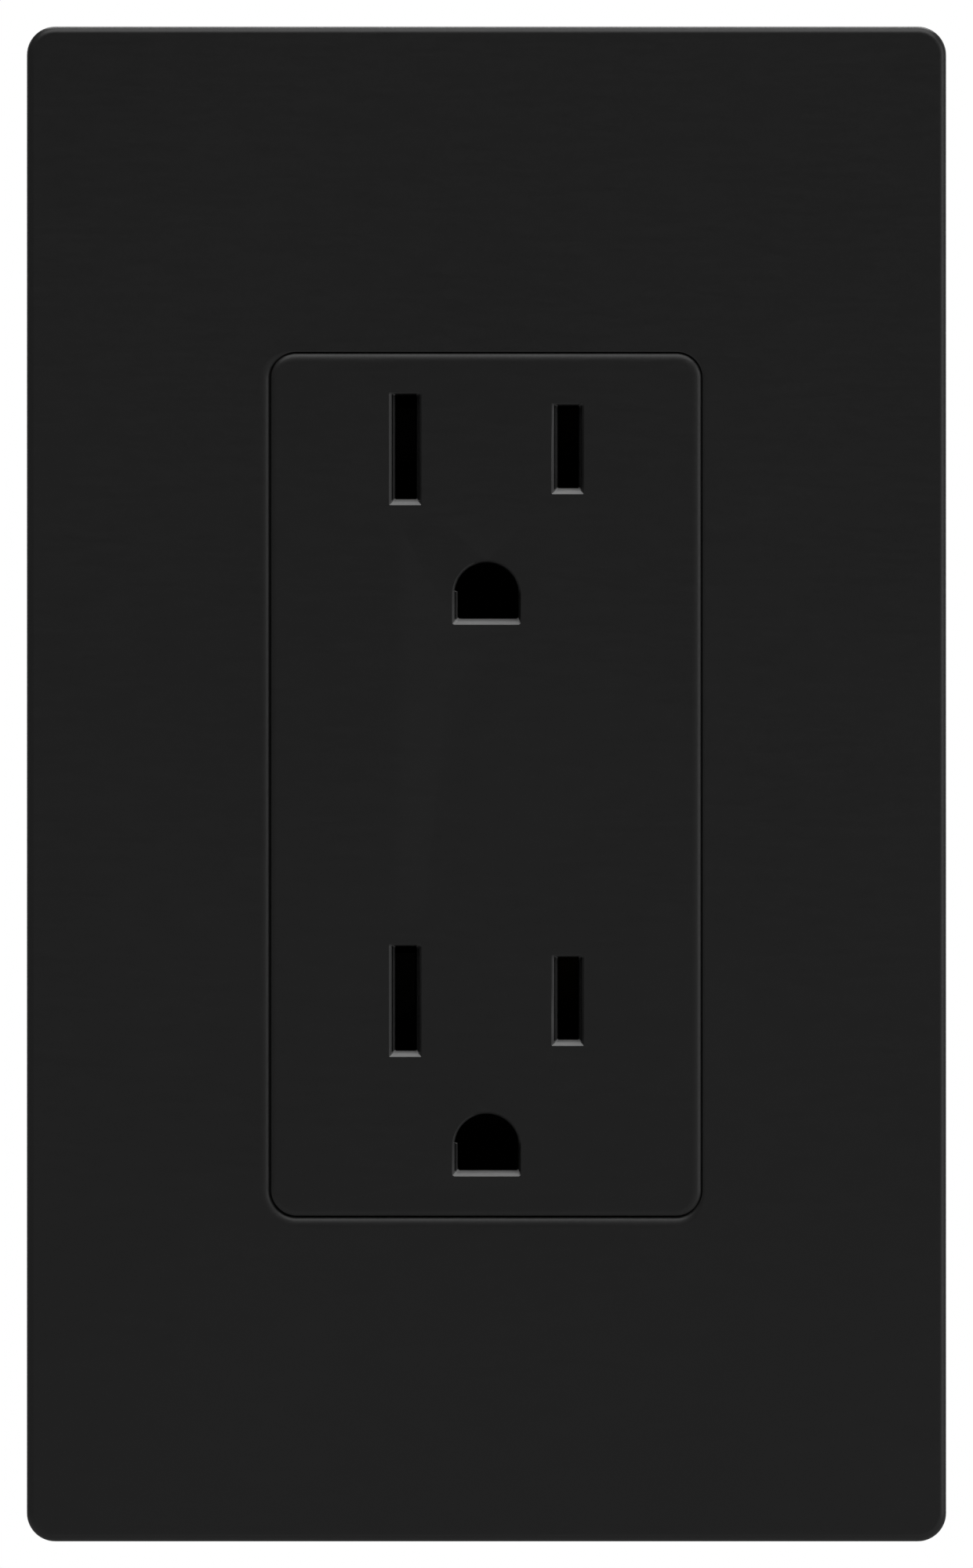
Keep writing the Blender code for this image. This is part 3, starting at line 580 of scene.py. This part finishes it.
# Each ring of a lead-in as its share of the way from the outer to the inner limits, its depth and its groove
LEAD_STEPS = (
    (-0.8, -0.2, 0.0), (0.0, 0.0, 0.0), (0.42, 0.19, 0.0),
    (0.48, 0.215, 0.19), (0.62, 0.28, 0.0), (1.0, 0.66, 0.0),
)
# A lead-in's depth round the top as a share of its depth elsewhere
TOP_SHARE = 0.4
# Each hole as its outline and its limits (x, z) at the front and below the lead-in, z from the middle
OUTLET_HOLES = (
    (slot_shape, ((-7.53, -5.01), (0.23, 8.99)), ((-7.06, -5.39), (0.69, 8.79))),
    (slot_shape, ((5.01, 7.53), (1.08, 8.14)), ((5.49, 7.14), (1.54, 7.94))),
    (arch, ((-2.66, 2.66), (-9.0, -4.0)), ((-2.22, 2.48), (-8.54, -4.17))),
)


def lead_in(shape, outer, inner, front):
    """A cutter for a hole with a two-step lead-in from the outer limits (x, z) down to the inner ones.

    A fine groove parts the two steps on the sides; the lead-in is shallow round the top.
    """
    rings = []
    for share, depth, groove in LEAD_STEPS:
        x, z = [tuple(a + (b - a) * share for a, b in zip(o, i)) for o, i in zip(outer, inner)]
        side_foot, side_top = z[0] + 0.1, z[1] - (0.2 if shape is slot_shape else x[1] - 0.24)
        ring = []
        for u, v in shape(x, z):
            if v > side_top:
                y = depth * TOP_SHARE if depth > 0 else depth
            else:
                y = depth + groove * (v > side_foot)
            ring.append((u, front + y, v))
        rings.append(ring)
    rings.append([(u, 1.0, v) for u, v in shape(*inner)])
    return loft(rings)


def rim_arc(front, flare):
    """Rows of a rounded rim from the front plane back: it narrows with flare 1 and widens with flare -1."""
    steps = 10
    turns = [QUARTER * i / steps for i in range(steps + 1)]
    return [(flare * (1 - math.sin(turn)), 1 - math.cos(turn), front) for turn in turns]


def rimmed(half_w, half_h, corner, rims, rows):
    """A rounded rectangle lofted along Y through rows of (out, deep, y).

    rims are the rim's widths right, top, left and bottom. It is half as deep as it is wide, and out and deep
    are shares of its width and depth.
    """
    right, top, left, bottom = rims
    steps = 14
    rings = [[] for _ in rows]
    for quarter, (sx, sz) in enumerate(((1, 1), (-1, 1), (-1, -1), (1, -1))):
        centre_x, centre_z = sx * (half_w - corner), sz * (half_h - corner)
        for i in range(steps + 1):
            angle = QUARTER * (quarter + i / steps)
            nx, nz = math.cos(angle), math.sin(angle)
            rim = nx * nx * (right if sx > 0 else left) + nz * nz * (top if sz > 0 else bottom)
            for ring, (out, deep, y) in zip(rings, rows):
                reach = corner + rim * out
                ring.append((centre_x + nx * reach, y + rim / 2 * deep, centre_z + nz * reach))
    return loft(rings)


def make_cover_plate():
    """The screwless cover: crowned edges outside, and ribs, snap nibs and ejector marks inside."""
    low, high = (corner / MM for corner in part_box("faceplate"))
    front, skin_back, wall, flange = low.y, low.y + 2.0, 1.6, 1.2
    shell = rounded_box(
        (low.x, high.x), (front, high.y), (low.z, high.z), 2.2, front=0.6, corner_steps=14, edge_steps=8,
    )
    inner_x, inner_z = both(high.x - wall), both(high.z - wall)
    hollow = rounded_box(inner_x, (skin_back, 1.0), inner_z, 1.0)
    half_w, half_h = WINDOW_W / 2, WINDOW_H / 2
    collar_y = (skin_back - 0.5, skin_back + 1.0)
    collar = rounded_box(both(half_w + flange), collar_y, both(half_h + flange), WINDOW_CORNER + flange)
    rows = [(1.01, 0.0, front - 0.5)] + rim_arc(front, 1) + [(0.0, 0.0, 0.0)]
    window = rimmed(half_w, half_h, WINDOW_CORNER, (0.25, 0.12, 0.9, 0.9), rows)
    nibs = []
    for nib_z in NIB_Z:
        nibs += on_both_sides((inner_x[1] - 0.3, inner_x[1] + 0.5), (-1.9, -1.2), (nib_z - 3.0, nib_z + 3.0))
    rib, rib_front = 0.4, skin_back - 0.4
    long_ribs = [((x - rib, x + rib), (rib_front, skin_back + 0.7), both(52.0)) for x in (-24.0, 24.0)]
    # Low, because the mounting screws come this far out
    cross_ribs = [(both(30.0), (rib_front, skin_back + 0.3), (z - rib, z + rib)) for z in (-43.0, 43.0)]
    marks = []
    for x in (-29, 29):
        for z in (-50, 0, 50):
            marks.append((2.2, (x, skin_back - 0.15, z), (x, skin_back + 0.5, z)))
    pry = boxes((both(4.0), (-1.2, 1.0), (low.z - 1.0, inner_z[0] + 1.0)))
    bm = combined(
        shell, ("cut", hollow), ("add", collar), ("add", boxes(*nibs)), ("add", boxes(*long_ribs)),
        ("add", boxes(*cross_ribs)), ("cut", window), ("cut", rods(*marks, steps=28)), ("cut", pry),
    )
    piece("cover_plate", bm, COVER_PLASTIC, "faceplate", ["faceplate"])


def make_device_face():
    """The face: soft rim, stepped lead-ins with a painted highlight on their lower edges, towers and posts
    behind.
    """
    low, high = (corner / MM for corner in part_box("front_cover"))
    front, skin_back, back, wall = low.y + 0.12, low.y + 2.1, -1.5, 1.6
    rows = rim_arc(front, -1) + [(0.0, 0.0, back)]
    half_w, half_h = WINDOW_W / 2 - FACE_GAP, WINDOW_H / 2 - FACE_GAP
    shell = rimmed(half_w, half_h, WINDOW_CORNER, (0.85, 0.85, 0.43, 0.43), rows)
    hollow = rounded_box(both(high.x - wall), (skin_back, 0.5), both(high.z - wall), 0.8)
    towers, posts, post_holes = [], [], []
    leads, lead_cuts = [], []
    for side in (1, -1):
        middle = side * GROUP_Z
        towers.append((both(10.0), (skin_back - 0.5, 0.0), (middle - 10.2, middle + 10.2)))
        for across in (-1, 1):
            px, pz = across * ASSEMBLY_X, side * ASSEMBLY_Z
            posts.append((2.8, (px, skin_back - 0.5, pz), (px, back, pz)))
            post_holes.append((1.55, (px, skin_back + 0.6, pz), (px, 0.5, pz)))
        for shape, outer, inner in OUTLET_HOLES:
            outer, inner = [(x, tuple(middle + v for v in z)) for x, z in (outer, inner)]
            leads.append(outer)
            lead_cuts.append(("cut", lead_in(shape, outer, inner, front)))
    bm = combined(
        shell, ("cut", hollow), ("add", boxes(*towers)), ("add", rods(*posts)), ("cut", rods(*post_holes)),
        *lead_cuts,
    )

    def painted_highlight(face):
        """Faces of a lead-in get a painted highlight where they look up, towards the top light, and a little
        where they look right.
        """
        centre = face.calc_center_median()
        inside = any(x[0] < centre.x < x[1] and z[0] < centre.z < z[1] for x, z in leads)
        if not inside or not front + 0.02 < centre.y < front + 0.64:
            return 0.0
        return 1.0 if face.normal.z > 0.3 else 0.12 * (face.normal.x > 0.3)

    # Painted highlight: up-facing lead-in faces fully, right-facing ones a little.
    mark(bm, "painted_highlight", painted_highlight)
    piece("device_face", bm, FACE_PLASTIC, "receptacle", ["front_cover"])


def make_snap_frame():
    """The adapter: panel, rim, ratchet grooves, countersunk holes, screw bays and stiffening ribs."""
    low, high = (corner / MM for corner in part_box("adapter_plate"))
    front, back, rim = low.y, -1.5, 1.2
    shell = rounded_box(
        (low.x, high.x), (front, high.y), (low.z, high.z), 1.6, front=0.2, corner_steps=8, edge_steps=3,
    )
    inner_x, inner_z = both(high.x - rim), both(high.z - rim)
    hollow = rounded_box(inner_x, (back, 1.0), inner_z, 0.8)
    wide, tall, bay_x, bay_z = 17.25, 34.0, 4.2, 45.15
    opening = rounded_outline(
        [
            (-wide, -tall, 2.0), (-bay_x, -tall, 0.3), (-bay_x, -bay_z, 1.5), (bay_x, -bay_z, 1.5),
            (bay_x, -tall, 0.3), (wide, -tall, 2.0), (wide, tall, 2.0), (bay_x, tall, 0.3),
            (bay_x, bay_z, 1.5), (-bay_x, bay_z, 1.5), (-bay_x, tall, 0.3), (-wide, tall, 2.0),
        ]
    )
    long_ribs = [((x - 0.5, x + 0.5), (back - 0.3, -0.5), both(high.z - 0.6)) for x in (-25.0, 25.0)]
    cross_ribs = []
    for z in (-24.0, -8.0, 8.0, 24.0):
        cross_ribs += on_both_sides((wide + 2.0, high.x - 0.6), (back - 0.3, -0.7), (z - 0.4, z + 0.4))
    steps = [("cut", hollow), ("add", boxes(*long_ribs)), ("add", boxes(*cross_ribs))]
    steps.append(("cut", slab([opening], (front - 1.0, 1.0))))
    countersink = [(0, 1.0), (3.95, 1.0), (2.85, 0.0), (1.95, -0.9), (1.95, -3.0), (0, -3.0)]
    for side in (1, -1):
        hole = turned(countersink)
        place = Matrix.Translation((0, front, side * PLATE_SCREW_Z))
        hole.transform(place @ Matrix.Rotation(QUARTER, 4, "X"))
        steps.append(("cut", hole))
    grooves = []
    for nib_z in NIB_Z:
        for y in (-2.5, -1.8, -1.1):
            grooves += on_both_sides((high.x - 0.4, high.x + 1.0), (y, y + 0.4), (nib_z - 4.0, nib_z + 4.0))
    steps.append(("cut", boxes(*grooves)))
    bm = combined(shell, *steps)
    piece("snap_frame", bm, ADAPTER_PLASTIC, "adapter", ["adapter_plate"])


def make_outlet_body():
    """The rear body: tub, terminal recesses, wire holes with funnels, screw wells and a strip gauge."""
    low, high = (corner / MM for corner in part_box("rear_body"))
    front, back, wall = low.y, high.y, 1.8
    floor = back - 2.0
    recess_x, recess_y, recess_z = 12.9, (5.5, 19.5), 17.0
    # Where cutters end, clear of the back and of the sides
    past, outside = 27.0, 20.0
    tub = rounded_box(
        (low.x, high.x), (front, back), (low.z, high.z), 2.0, front=0.15, rear=1.2, corner_steps=12,
    )
    hollow = rounded_box(both(high.x - wall), (-1.0, floor), both(high.z - wall), 0.8)
    around = (recess_y[0] - wall, recess_y[1] + wall)
    recess_walls = on_both_sides((recess_x - wall, high.x - 0.5), around, both(recess_z + wall))
    recesses = on_both_sides((recess_x, outside), recess_y, both(recess_z))
    partitions = on_both_sides((3.4, 4.2), (1.6, floor + 0.5), both(high.z - 1.0))
    barrier_x = (recess_x - 0.5, high.x - 0.6)
    barriers = on_both_sides(barrier_x, (recess_y[0] - 0.5, 8.4), both(0.6))
    barriers += on_both_sides(barrier_x, (18.0, recess_y[1] + 0.5), both(0.6))
    posts, holes, wells, wires, funnels, shanks, legs = [], [], [], [], [], [], []
    for side in (1, -1):
        for across in (-1, 1):
            px, pz = across * ASSEMBLY_X, side * ASSEMBLY_Z
            posts.append((2.9, (px, front, pz), (px, floor + 0.5, pz)))
            holes.append((1.6, (px, 0.0, pz), (px, past - 0.5, pz)))
            wells.append((2.7, (px, 22.5, pz), (px, past, pz)))
            tz = side * TERMINAL_Z
            shanks.append((2.25, (across * 10.5, TERMINAL_Y, tz), (across * 13.5, TERMINAL_Y, tz)))
            for offset in (-3.2, 3.2):
                wx, wz = across * 14.15, tz + offset
                wires.append((1.15, (wx, recess_y[1] - 1.0, wz), (wx, past - 0.5, wz)))
                funnels.append((1.15, (wx, back - 0.35, wz), (wx, back + 0.35, wz)))
        legs += on_both_sides((10.5, 13.5), (8.7, 10.1), sorted((side * 5.2, side * 13.8)))
    gauge = rounded_box(both(7.0), (back - 0.6, past), both(1.1), 0.5)
    side_grooves = on_both_sides((high.x - 0.18, outside), (4.1, 4.5), both(31.0))
    panels = [rounded_box(both(9.5), (back - 0.35, past), (z - 5.0, z + 5.0), 1.5) for z in (-17.0, 17.0)]
    bm = combined(
        tub, ("cut", hollow), ("add", boxes(*recess_walls)), ("add", boxes(*partitions)),
        ("add", rods(*posts)), ("cut", boxes(*recesses)), ("add", boxes(*barriers)), ("cut", rods(*holes)),
        ("cut", rods(*wells)), ("cut", rods(*shanks)), ("cut", boxes(*legs)),
        ("cut", rods(*wires, steps=28)), ("cut", rods(*funnels, steps=28, taper=1.35)), ("cut", gauge),
        ("cut", boxes(*side_grooves)), ("cut", panels[0]), ("cut", panels[1]),
    )
    piece("outlet_body", bm, BODY_PLASTIC, "receptacle", ["rear_body"])


# ---------------------------------------------------------------- sheet metal

def make_yoke():
    """The strap: stamped outline with rolled-over edges and a bent ground tab."""
    rail, neck, ear_x, ear_z, top = 17.2, 11.0, 21.0, 44.2, 53.2
    quarter = [
        (rail, 36.5, 1.0), (neck, 39.5, 1.0), (neck, ear_z, 0.6), (ear_x, ear_z, 1.5), (ear_x, top, 3.0),
        (neck + 0.9, top, 0), (neck, top - 0.9, 0), (neck - 0.9, top, 0),
    ]
    corners = quarter + [(-u, v, r) for u, v, r in reversed(quarter)]
    corners += [(-u, -v, r) for u, v, r in quarter] + [(u, -v, r) for u, v, r in reversed(quarter)]
    outlines = [rounded_outline(corners)]
    for side in (1, -1):
        outlines.append(rectangle(both(11.5), sorted((side * 10.3, side * 32.1)), 1.0))
        outlines.append(rectangle(both(3.75), (side * MOUNT_Z - 2.0, side * MOUNT_Z + 2.0), 1.99, 10))
        outlines.append(circle((0, side * PLATE_SCREW_Z), 1.9))
        outlines.append(circle((0, side * RIVET_Z), 1.5, 24))
        for across in (-1, 1):
            outlines.append(circle((across * ASSEMBLY_X, side * ASSEMBLY_Z), 1.6, 24))
            score = sorted((across * (neck - 0.4), across * (neck + 0.4)))
            outlines.append(rectangle(score, sorted((side * 46.5, side * 50.5)), 0.35, 3))
    strap = slab(outlines, (-1.2, 0.0), edge=0.14)
    tab_x, tab_end, root_z = (-12.2, -11.0), 10.8, (-38.4, -33.6)
    tab = boxes((tab_x, (1.2, tab_end), (-42.4, root_z[1])))

    def end_corner(a, b):
        return abs(a.y - tab_end) < WELD and abs(b.y - tab_end) < WELD and abs(a.z - b.z) < WELD

    round_edges(tab, end_corner, 1.2, 6)
    base = boxes((tab_x, (-1.0, 3.0), root_z))
    hole = rods((2.25, (-13.5, GROUND_Y, GROUND_Z), (-9.5, GROUND_Y, GROUND_Z)))
    fillet = rods((0.9, (tab_x[1], 0.0, root_z[0]), (tab_x[1], 0.0, root_z[1])), steps=24)
    bm = combined(strap, ("add", base), ("add", tab), ("add", fillet), ("cut", hole))
    piece("yoke", bm, GALVANISED, "receptacle", ["mounting_strap"])


def contact_strip(name, node, across, material):
    """A side stamping: two spring clips with rounded bends, arms, legs and the terminal plate."""
    leaf = 0.7
    arm_x = (BLADE_X + 1.5 - leaf / 2, BLADE_X + 1.5 + leaf / 2)
    plate_x = (13.2, 14.0)
    parts = []
    for side, reach in ((1, GROUP_Z + BLADE_RISE), (-1, BLADE_RISE - GROUP_Z)):
        parts.append((arm_x, (9.0, 16.0), sorted((side * 5.5, reach))))
        parts.append(((arm_x[0], plate_x[1]), (9.0, 9.8), sorted((side * 5.5, side * 13.5))))
        parts.append((plate_x, (9.0, 17.5), sorted((side * 2.2, side * 15.0))))
    parts.append((plate_x, (11.5, 14.5), both(2.6)))
    mirror = Matrix.Diagonal((across, 1, 1, 1))
    steps = []
    for limits in parts:
        bm = boxes(limits)
        bm.transform(mirror)
        bmesh.ops.recalc_face_normals(bm, faces=bm.faces)
        steps.append(("add", bm))
    half_clip = ((1.5, 18.0), (1.5, 8.0), (1.1, 5.0), (1.75, 2.45))
    clip = [(-u, y) for u, y in reversed(half_clip)] + list(half_clip)
    clip = [(across * BLADE_X + u, y) for u, y in clip]
    for clip_z in (GROUP_Z + BLADE_RISE, BLADE_RISE - GROUP_Z):
        steps.append(("add", bent_sheet(clip, leaf, (clip_z - 3.2, clip_z + 3.2))))
    first = steps.pop(0)[1]
    holes = []
    for z in (-TERMINAL_Z, TERMINAL_Z):
        holes.append((2.25, (across * 12.5, TERMINAL_Y, z), (across * 15.0, TERMINAL_Y, z)))
    bm = combined(first, *steps, ("cut", rods(*holes)), edge=0.08)
    # Painted shade: the clips behind the face slots are marked to be painted near black.
    mark(bm, "tarnish_and_shade", lambda face: abs(face.calc_center_median().x) < arm_x[0])
    piece(name, bm, material, "receptacle", [node])


def make_ground_bus():
    """The ground stamping and its two pairs of leaves."""
    half = 3.1
    upper, lower = GROUP_Z - GROUND_DROP, -GROUP_Z - GROUND_DROP
    outlines = [rectangle(both(half), (lower + 2.8, upper - 2.8), 0.3, 3)]
    outlines += [circle((0, z), 1.5) for z in (RIVET_Z, -RIVET_Z)]
    steps = []
    for near, far, tip in ((upper - 3.6, upper - 2.8, upper + 2.3), (lower + 3.6, lower + 2.8, lower - 2.3)):
        steps.append(("add", boxes((both(half - 0.02), (0.5, 12.0), sorted((near, far))))))
        leaf = sorted((near + (far - near) * 0.1, tip))
        for across in (-1, 1):
            path = [(across * 3.0, 2.3), (across * 2.72, 4.2), (across * 2.8, 8.0), (across * 2.8, 17.0)]
            steps.append(("add", bent_sheet(path, 0.6, leaf)))
    bm = combined(slab(outlines, (0.3, 1.1)), *steps, edge=0.07)
    piece("ground_bus", bm, BRASS, "receptacle", ["ground_contact_strip"])


def make_rivet(level, side):
    """A rivet with a domed head at each end of its shank."""
    radius, dome, shank, top, bottom = 2.1, 0.7, 1.2, 1.5, -1.4
    rim = arc((0, 0), 1.0, 1, 0, 8)
    head = [(radius * u, top + dome * v) for u, v in rim]
    tail = [(radius * u, bottom - dome * v) for u, v in reversed(rim)]
    bm = turned(head + [(shank, top), (shank, bottom)] + tail, steps=32)
    at = (0, 0, side * RIVET_Z)
    piece(f"bus_rivet_{level}", bm, ZINC, "receptacle", [f"ground_rivet_{level}"], at, TO_ROOM)


# ---------------------------------------------------------------- fasteners

def screw_mesh(head, height, shank, length):
    """A pan-head screw about Z with its seat at 0: domed head, combination drive and rolled thread."""
    turns = [QUARTER * i / 8 for i in range(9)]
    crown = [(head * math.sin(turn), height * (0.58 + 0.42 * math.cos(turn))) for turn in turns]
    neck = shank * 0.6
    skirt = [(head, 0.12), (head - 0.12, 0.0), (neck, 0.0), (neck, -0.3), (0, -0.3)]
    blank = turned(crown + skirt, steps=56)
    half_slot, drive = both(0.5), (height * 0.5, height + 1.0)
    slot = boxes((half_slot, both(head + 0.5), drive))
    cross = boxes((both(head * 0.56), half_slot, drive))
    socket = rods((0.95, (0, 0, drive[0] - 0.35), (0, 0, drive[1])), steps=4)
    cap = combined(blank, ("cut", slot), ("cut", cross), ("cut", socket), edge=0.05)
    return merged(cap, threaded(shank, -0.02, -length))


def clamp_mesh():
    """A pressure plate about Z with its seat at 0: rolled edges, screw hole and wire grooves."""
    outline = rectangle(both(4.3), both(4.3), 0.8)
    plate = slab([outline, circle((0, 0), 2.3)], (-1.2, 0.0), edge=0.12)
    plate.transform(Matrix.Rotation(-QUARTER, 4, "X"))
    grooves = [(0.75, (u, -5.5, 0.0), (u, 5.5, 0.0)) for u in (-3.2, 3.2)]
    teeth = [(0.22, (-5.5, v, -0.05), (5.5, v, -0.05)) for v in (-3.4, -2.5, 2.5, 3.4)]
    return combined(plate, ("cut", rods(*grooves, steps=28)), ("cut", rods(*teeth, steps=10)))


def make_terminal(kind, across, level, side, material):
    """A side terminal's screw and its clamp plate."""
    turn = TO_RIGHT if across > 0 else TO_LEFT
    z = side * TERMINAL_Z
    clamp, screw = f"{kind}_clamp_plate_{level}", f"{kind}_terminal_screw_{level}"
    at = (across * 14.3, TERMINAL_Y, z)
    piece(f"{kind}_clamp_{level}", clamp_mesh(), material, clamp, [clamp], at, turn)
    at = (across * 15.8, TERMINAL_Y, z)
    mesh = screw_mesh(*TERMINAL_SCREW)
    piece(f"{kind}_screw_{level}", mesh, material, screw, [screw], at, turn)


def make_ground_terminal():
    clamp, screw = "ground_clamp_plate", "ground_terminal_screw"
    at = (-12.5, GROUND_Y, GROUND_Z)
    piece("ground_clamp", clamp_mesh(), GREEN, clamp, [clamp], at, TO_LEFT)
    at = (-14.0, GROUND_Y, GROUND_Z)
    mesh = screw_mesh(*TERMINAL_SCREW)
    piece("ground_screw", mesh, GREEN, screw, [screw], at, TO_LEFT)


def make_plate_screw(level, side):
    """Countersunk, slotted, flush with the adapter."""
    profile = [
        (0, 0.0), (2.42, 0.0), (2.5, -0.06), (2.5, -0.14), (1.6, -1.0), (1.0, -1.05), (1.0, -1.3), (0, -1.3),
    ]
    slot = boxes((both(0.45), both(3.0), (-0.8, 1.0)))
    cap = combined(turned(profile, steps=56), ("cut", slot), edge=0.04)
    mesh = merged(cap, threaded(1.6, -1.0, -9.7))
    node = f"plate_screw_{level}"
    at = (0, -3.0, side * PLATE_SCREW_Z)
    piece(f"adapter_screw_{level}", mesh, ZINC, node, [node], at, TO_ROOM)


def make_mounting_set(level, side):
    """A mounting screw and the fibre square that keeps it in the strap."""
    z = side * MOUNT_Z
    node = f"mounting_screw_{level}"
    mesh = screw_mesh(3.2, 2.1, 1.7, 18.5)
    piece(f"box_screw_{level}", mesh, ZINC, node, [node], (0, -1.5, z), TO_ROOM)
    square = slab([rectangle(both(4.3), both(3.5), 0.6), circle((0, 0), 2.0)], (5.0, 5.8), edge=0.08)
    node = f"screw_retainer_{level}"
    piece(f"fibre_square_{level}", square, FIBRE, node, [node], (0, 0, z))


def make_assembly_screw(level, side, hand, across):
    mesh = screw_mesh(2.35, 1.8, 1.25, 27.1)
    at = (across * ASSEMBLY_X, 22.8, side * ASSEMBLY_Z)
    nodes = [f"assembly_screw_{level}_{hand}"]
    piece(f"case_screw_{level}_{hand}", mesh, ZINC, "receptacle", nodes, at, TO_BOX)


# ---------------------------------------------------------------- stage

# Each area light as its name, place, size and power; all face the object
LIGHTS = (
    ("top", (0.1, -0.55, 1.2), (1.5, 1.2), 11.0),
    ("right", (1.25, -0.6, 0.15), (1.0, 0.9), 3.8),
    ("back", (0.1, 0.85, 1.15), (1.1, 0.8), 9.0),
    ("back_right", (1.0, 1.1, 0.3), (0.8, 0.8), 1.8),
    ("back_left", (-1.0, 1.2, 0.3), (0.8, 0.8), 1.5),
)


def make_lights():
    for name, place, size, power in LIGHTS:
        data = bpy.data.lights.new(name, "AREA")
        data.shape = "RECTANGLE"
        data.size, data.size_y = size
        data.energy = power
        made = bpy.data.objects.new(name, data)
        made.location = place
        made.rotation_euler = (-Vector(place)).to_track_quat("-Z", "Y").to_euler()
        made.visible_camera = False
        bpy.context.scene.collection.objects.link(made)


def make_world():
    """White behind the object for the camera; dim all round for the surfaces, and dark straight in front."""
    world = bpy.data.worlds.new("studio")
    world.use_nodes = True
    tree = world.node_tree
    tree.nodes.clear()
    ray, place = tree.nodes.new("ShaderNodeLightPath"), tree.nodes.new("ShaderNodeTexCoord")
    axes, depth = tree.nodes.new("ShaderNodeSeparateXYZ"), tree.nodes.new("ShaderNodeMapRange")
    fill, seen = tree.nodes.new("ShaderNodeBackground"), tree.nodes.new("ShaderNodeBackground")
    mix, out = tree.nodes.new("ShaderNodeMixShader"), tree.nodes.new("ShaderNodeOutputWorld")
    falloff = tree.nodes.new("ShaderNodeValToRGB")
    stops = falloff.color_ramp.elements
    stops[0].position, stops[1].position = 0.06, 0.2
    for at in (0.55, 0.8):
        stops.new(at)
    for stop, level in zip(stops, (0.0, 0.1, 0.1, 0.03)):
        stop.color = (level, level, level, 1)
    depth.inputs["From Min"].default_value = -1.0
    seen.inputs["Color"].default_value = (1, 1, 1, 1)
    tree.links.new(place.outputs["Generated"], axes.inputs[0])
    tree.links.new(axes.outputs["Y"], depth.inputs["Value"])
    tree.links.new(depth.outputs["Result"], falloff.inputs[0])
    tree.links.new(falloff.outputs[0], fill.inputs["Color"])
    tree.links.new(ray.outputs["Is Camera Ray"], mix.inputs[0])
    tree.links.new(fill.outputs[0], mix.inputs[1])
    tree.links.new(seen.outputs[0], mix.inputs[2])
    tree.links.new(mix.outputs[0], out.inputs["Surface"])
    bpy.context.scene.world = world


def make_floor():
    """Pale paper to the camera, and greyer to other rays, so that it doesn't wash out the black plastic."""
    bm = bmesh.new()
    bmesh.ops.create_circle(bm, cap_ends=True, segments=96, radius=1.4)
    mesh = bpy.data.meshes.new("floor")
    bm.to_mesh(mesh)
    bm.free()
    n = Nodes("floor_paper")
    seen = n.ramp(n.noise(14.0, detail=3.0), [(0.3, (0.78, 0.78, 0.78)), (0.7, (0.81, 0.81, 0.81))])
    straight = n.add("ShaderNodeLightPath").outputs["Is Camera Ray"]
    n.set(Base_Color=n.mix(straight, (0.38, 0.38, 0.38), seen), Roughness=0.9)
    mesh.materials.append(n.material)
    floor = bpy.data.objects.new("floor", mesh)
    floor.location = (0, 0, -0.125)
    bpy.context.scene.collection.objects.link(floor)


def make_camera():
    """A long lens straight in front, as far off as frames the plate with a narrow margin."""
    camera = bpy.data.cameras.new("camera")
    camera.lens = 500.0
    camera.sensor_width = 36.0
    camera.clip_start = 0.05
    camera.clip_end = 20.0
    eye = bpy.data.objects.new("camera", camera)
    eye.location = (0, -1.6885, 0)
    eye.rotation_euler = TO_ROOM
    bpy.context.scene.collection.objects.link(eye)
    bpy.context.scene.camera = eye


make_cover_plate()
make_device_face()
make_snap_frame()
make_outlet_body()
make_yoke()
contact_strip("hot_stamping", "hot_contact_strip", 1, BRASS)
contact_strip("neutral_stamping", "neutral_contact_strip", -1, NICKEL)
make_ground_bus()
for level, side in LEVELS:
    make_rivet(level, side)
    make_terminal("hot", 1, level, side, BRASS)
    make_terminal("neutral", -1, level, side, NICKEL)
    make_plate_screw(level, side)
    make_mounting_set(level, side)
    for hand, across in (("left", -1), ("right", 1)):
        make_assembly_screw(level, side, hand, across)
make_ground_terminal()

bpy.context.scene.view_settings.view_transform = "Standard"
make_world()
make_floor()
make_lights()
make_camera()

bpy.data.collections.remove(BENCH)
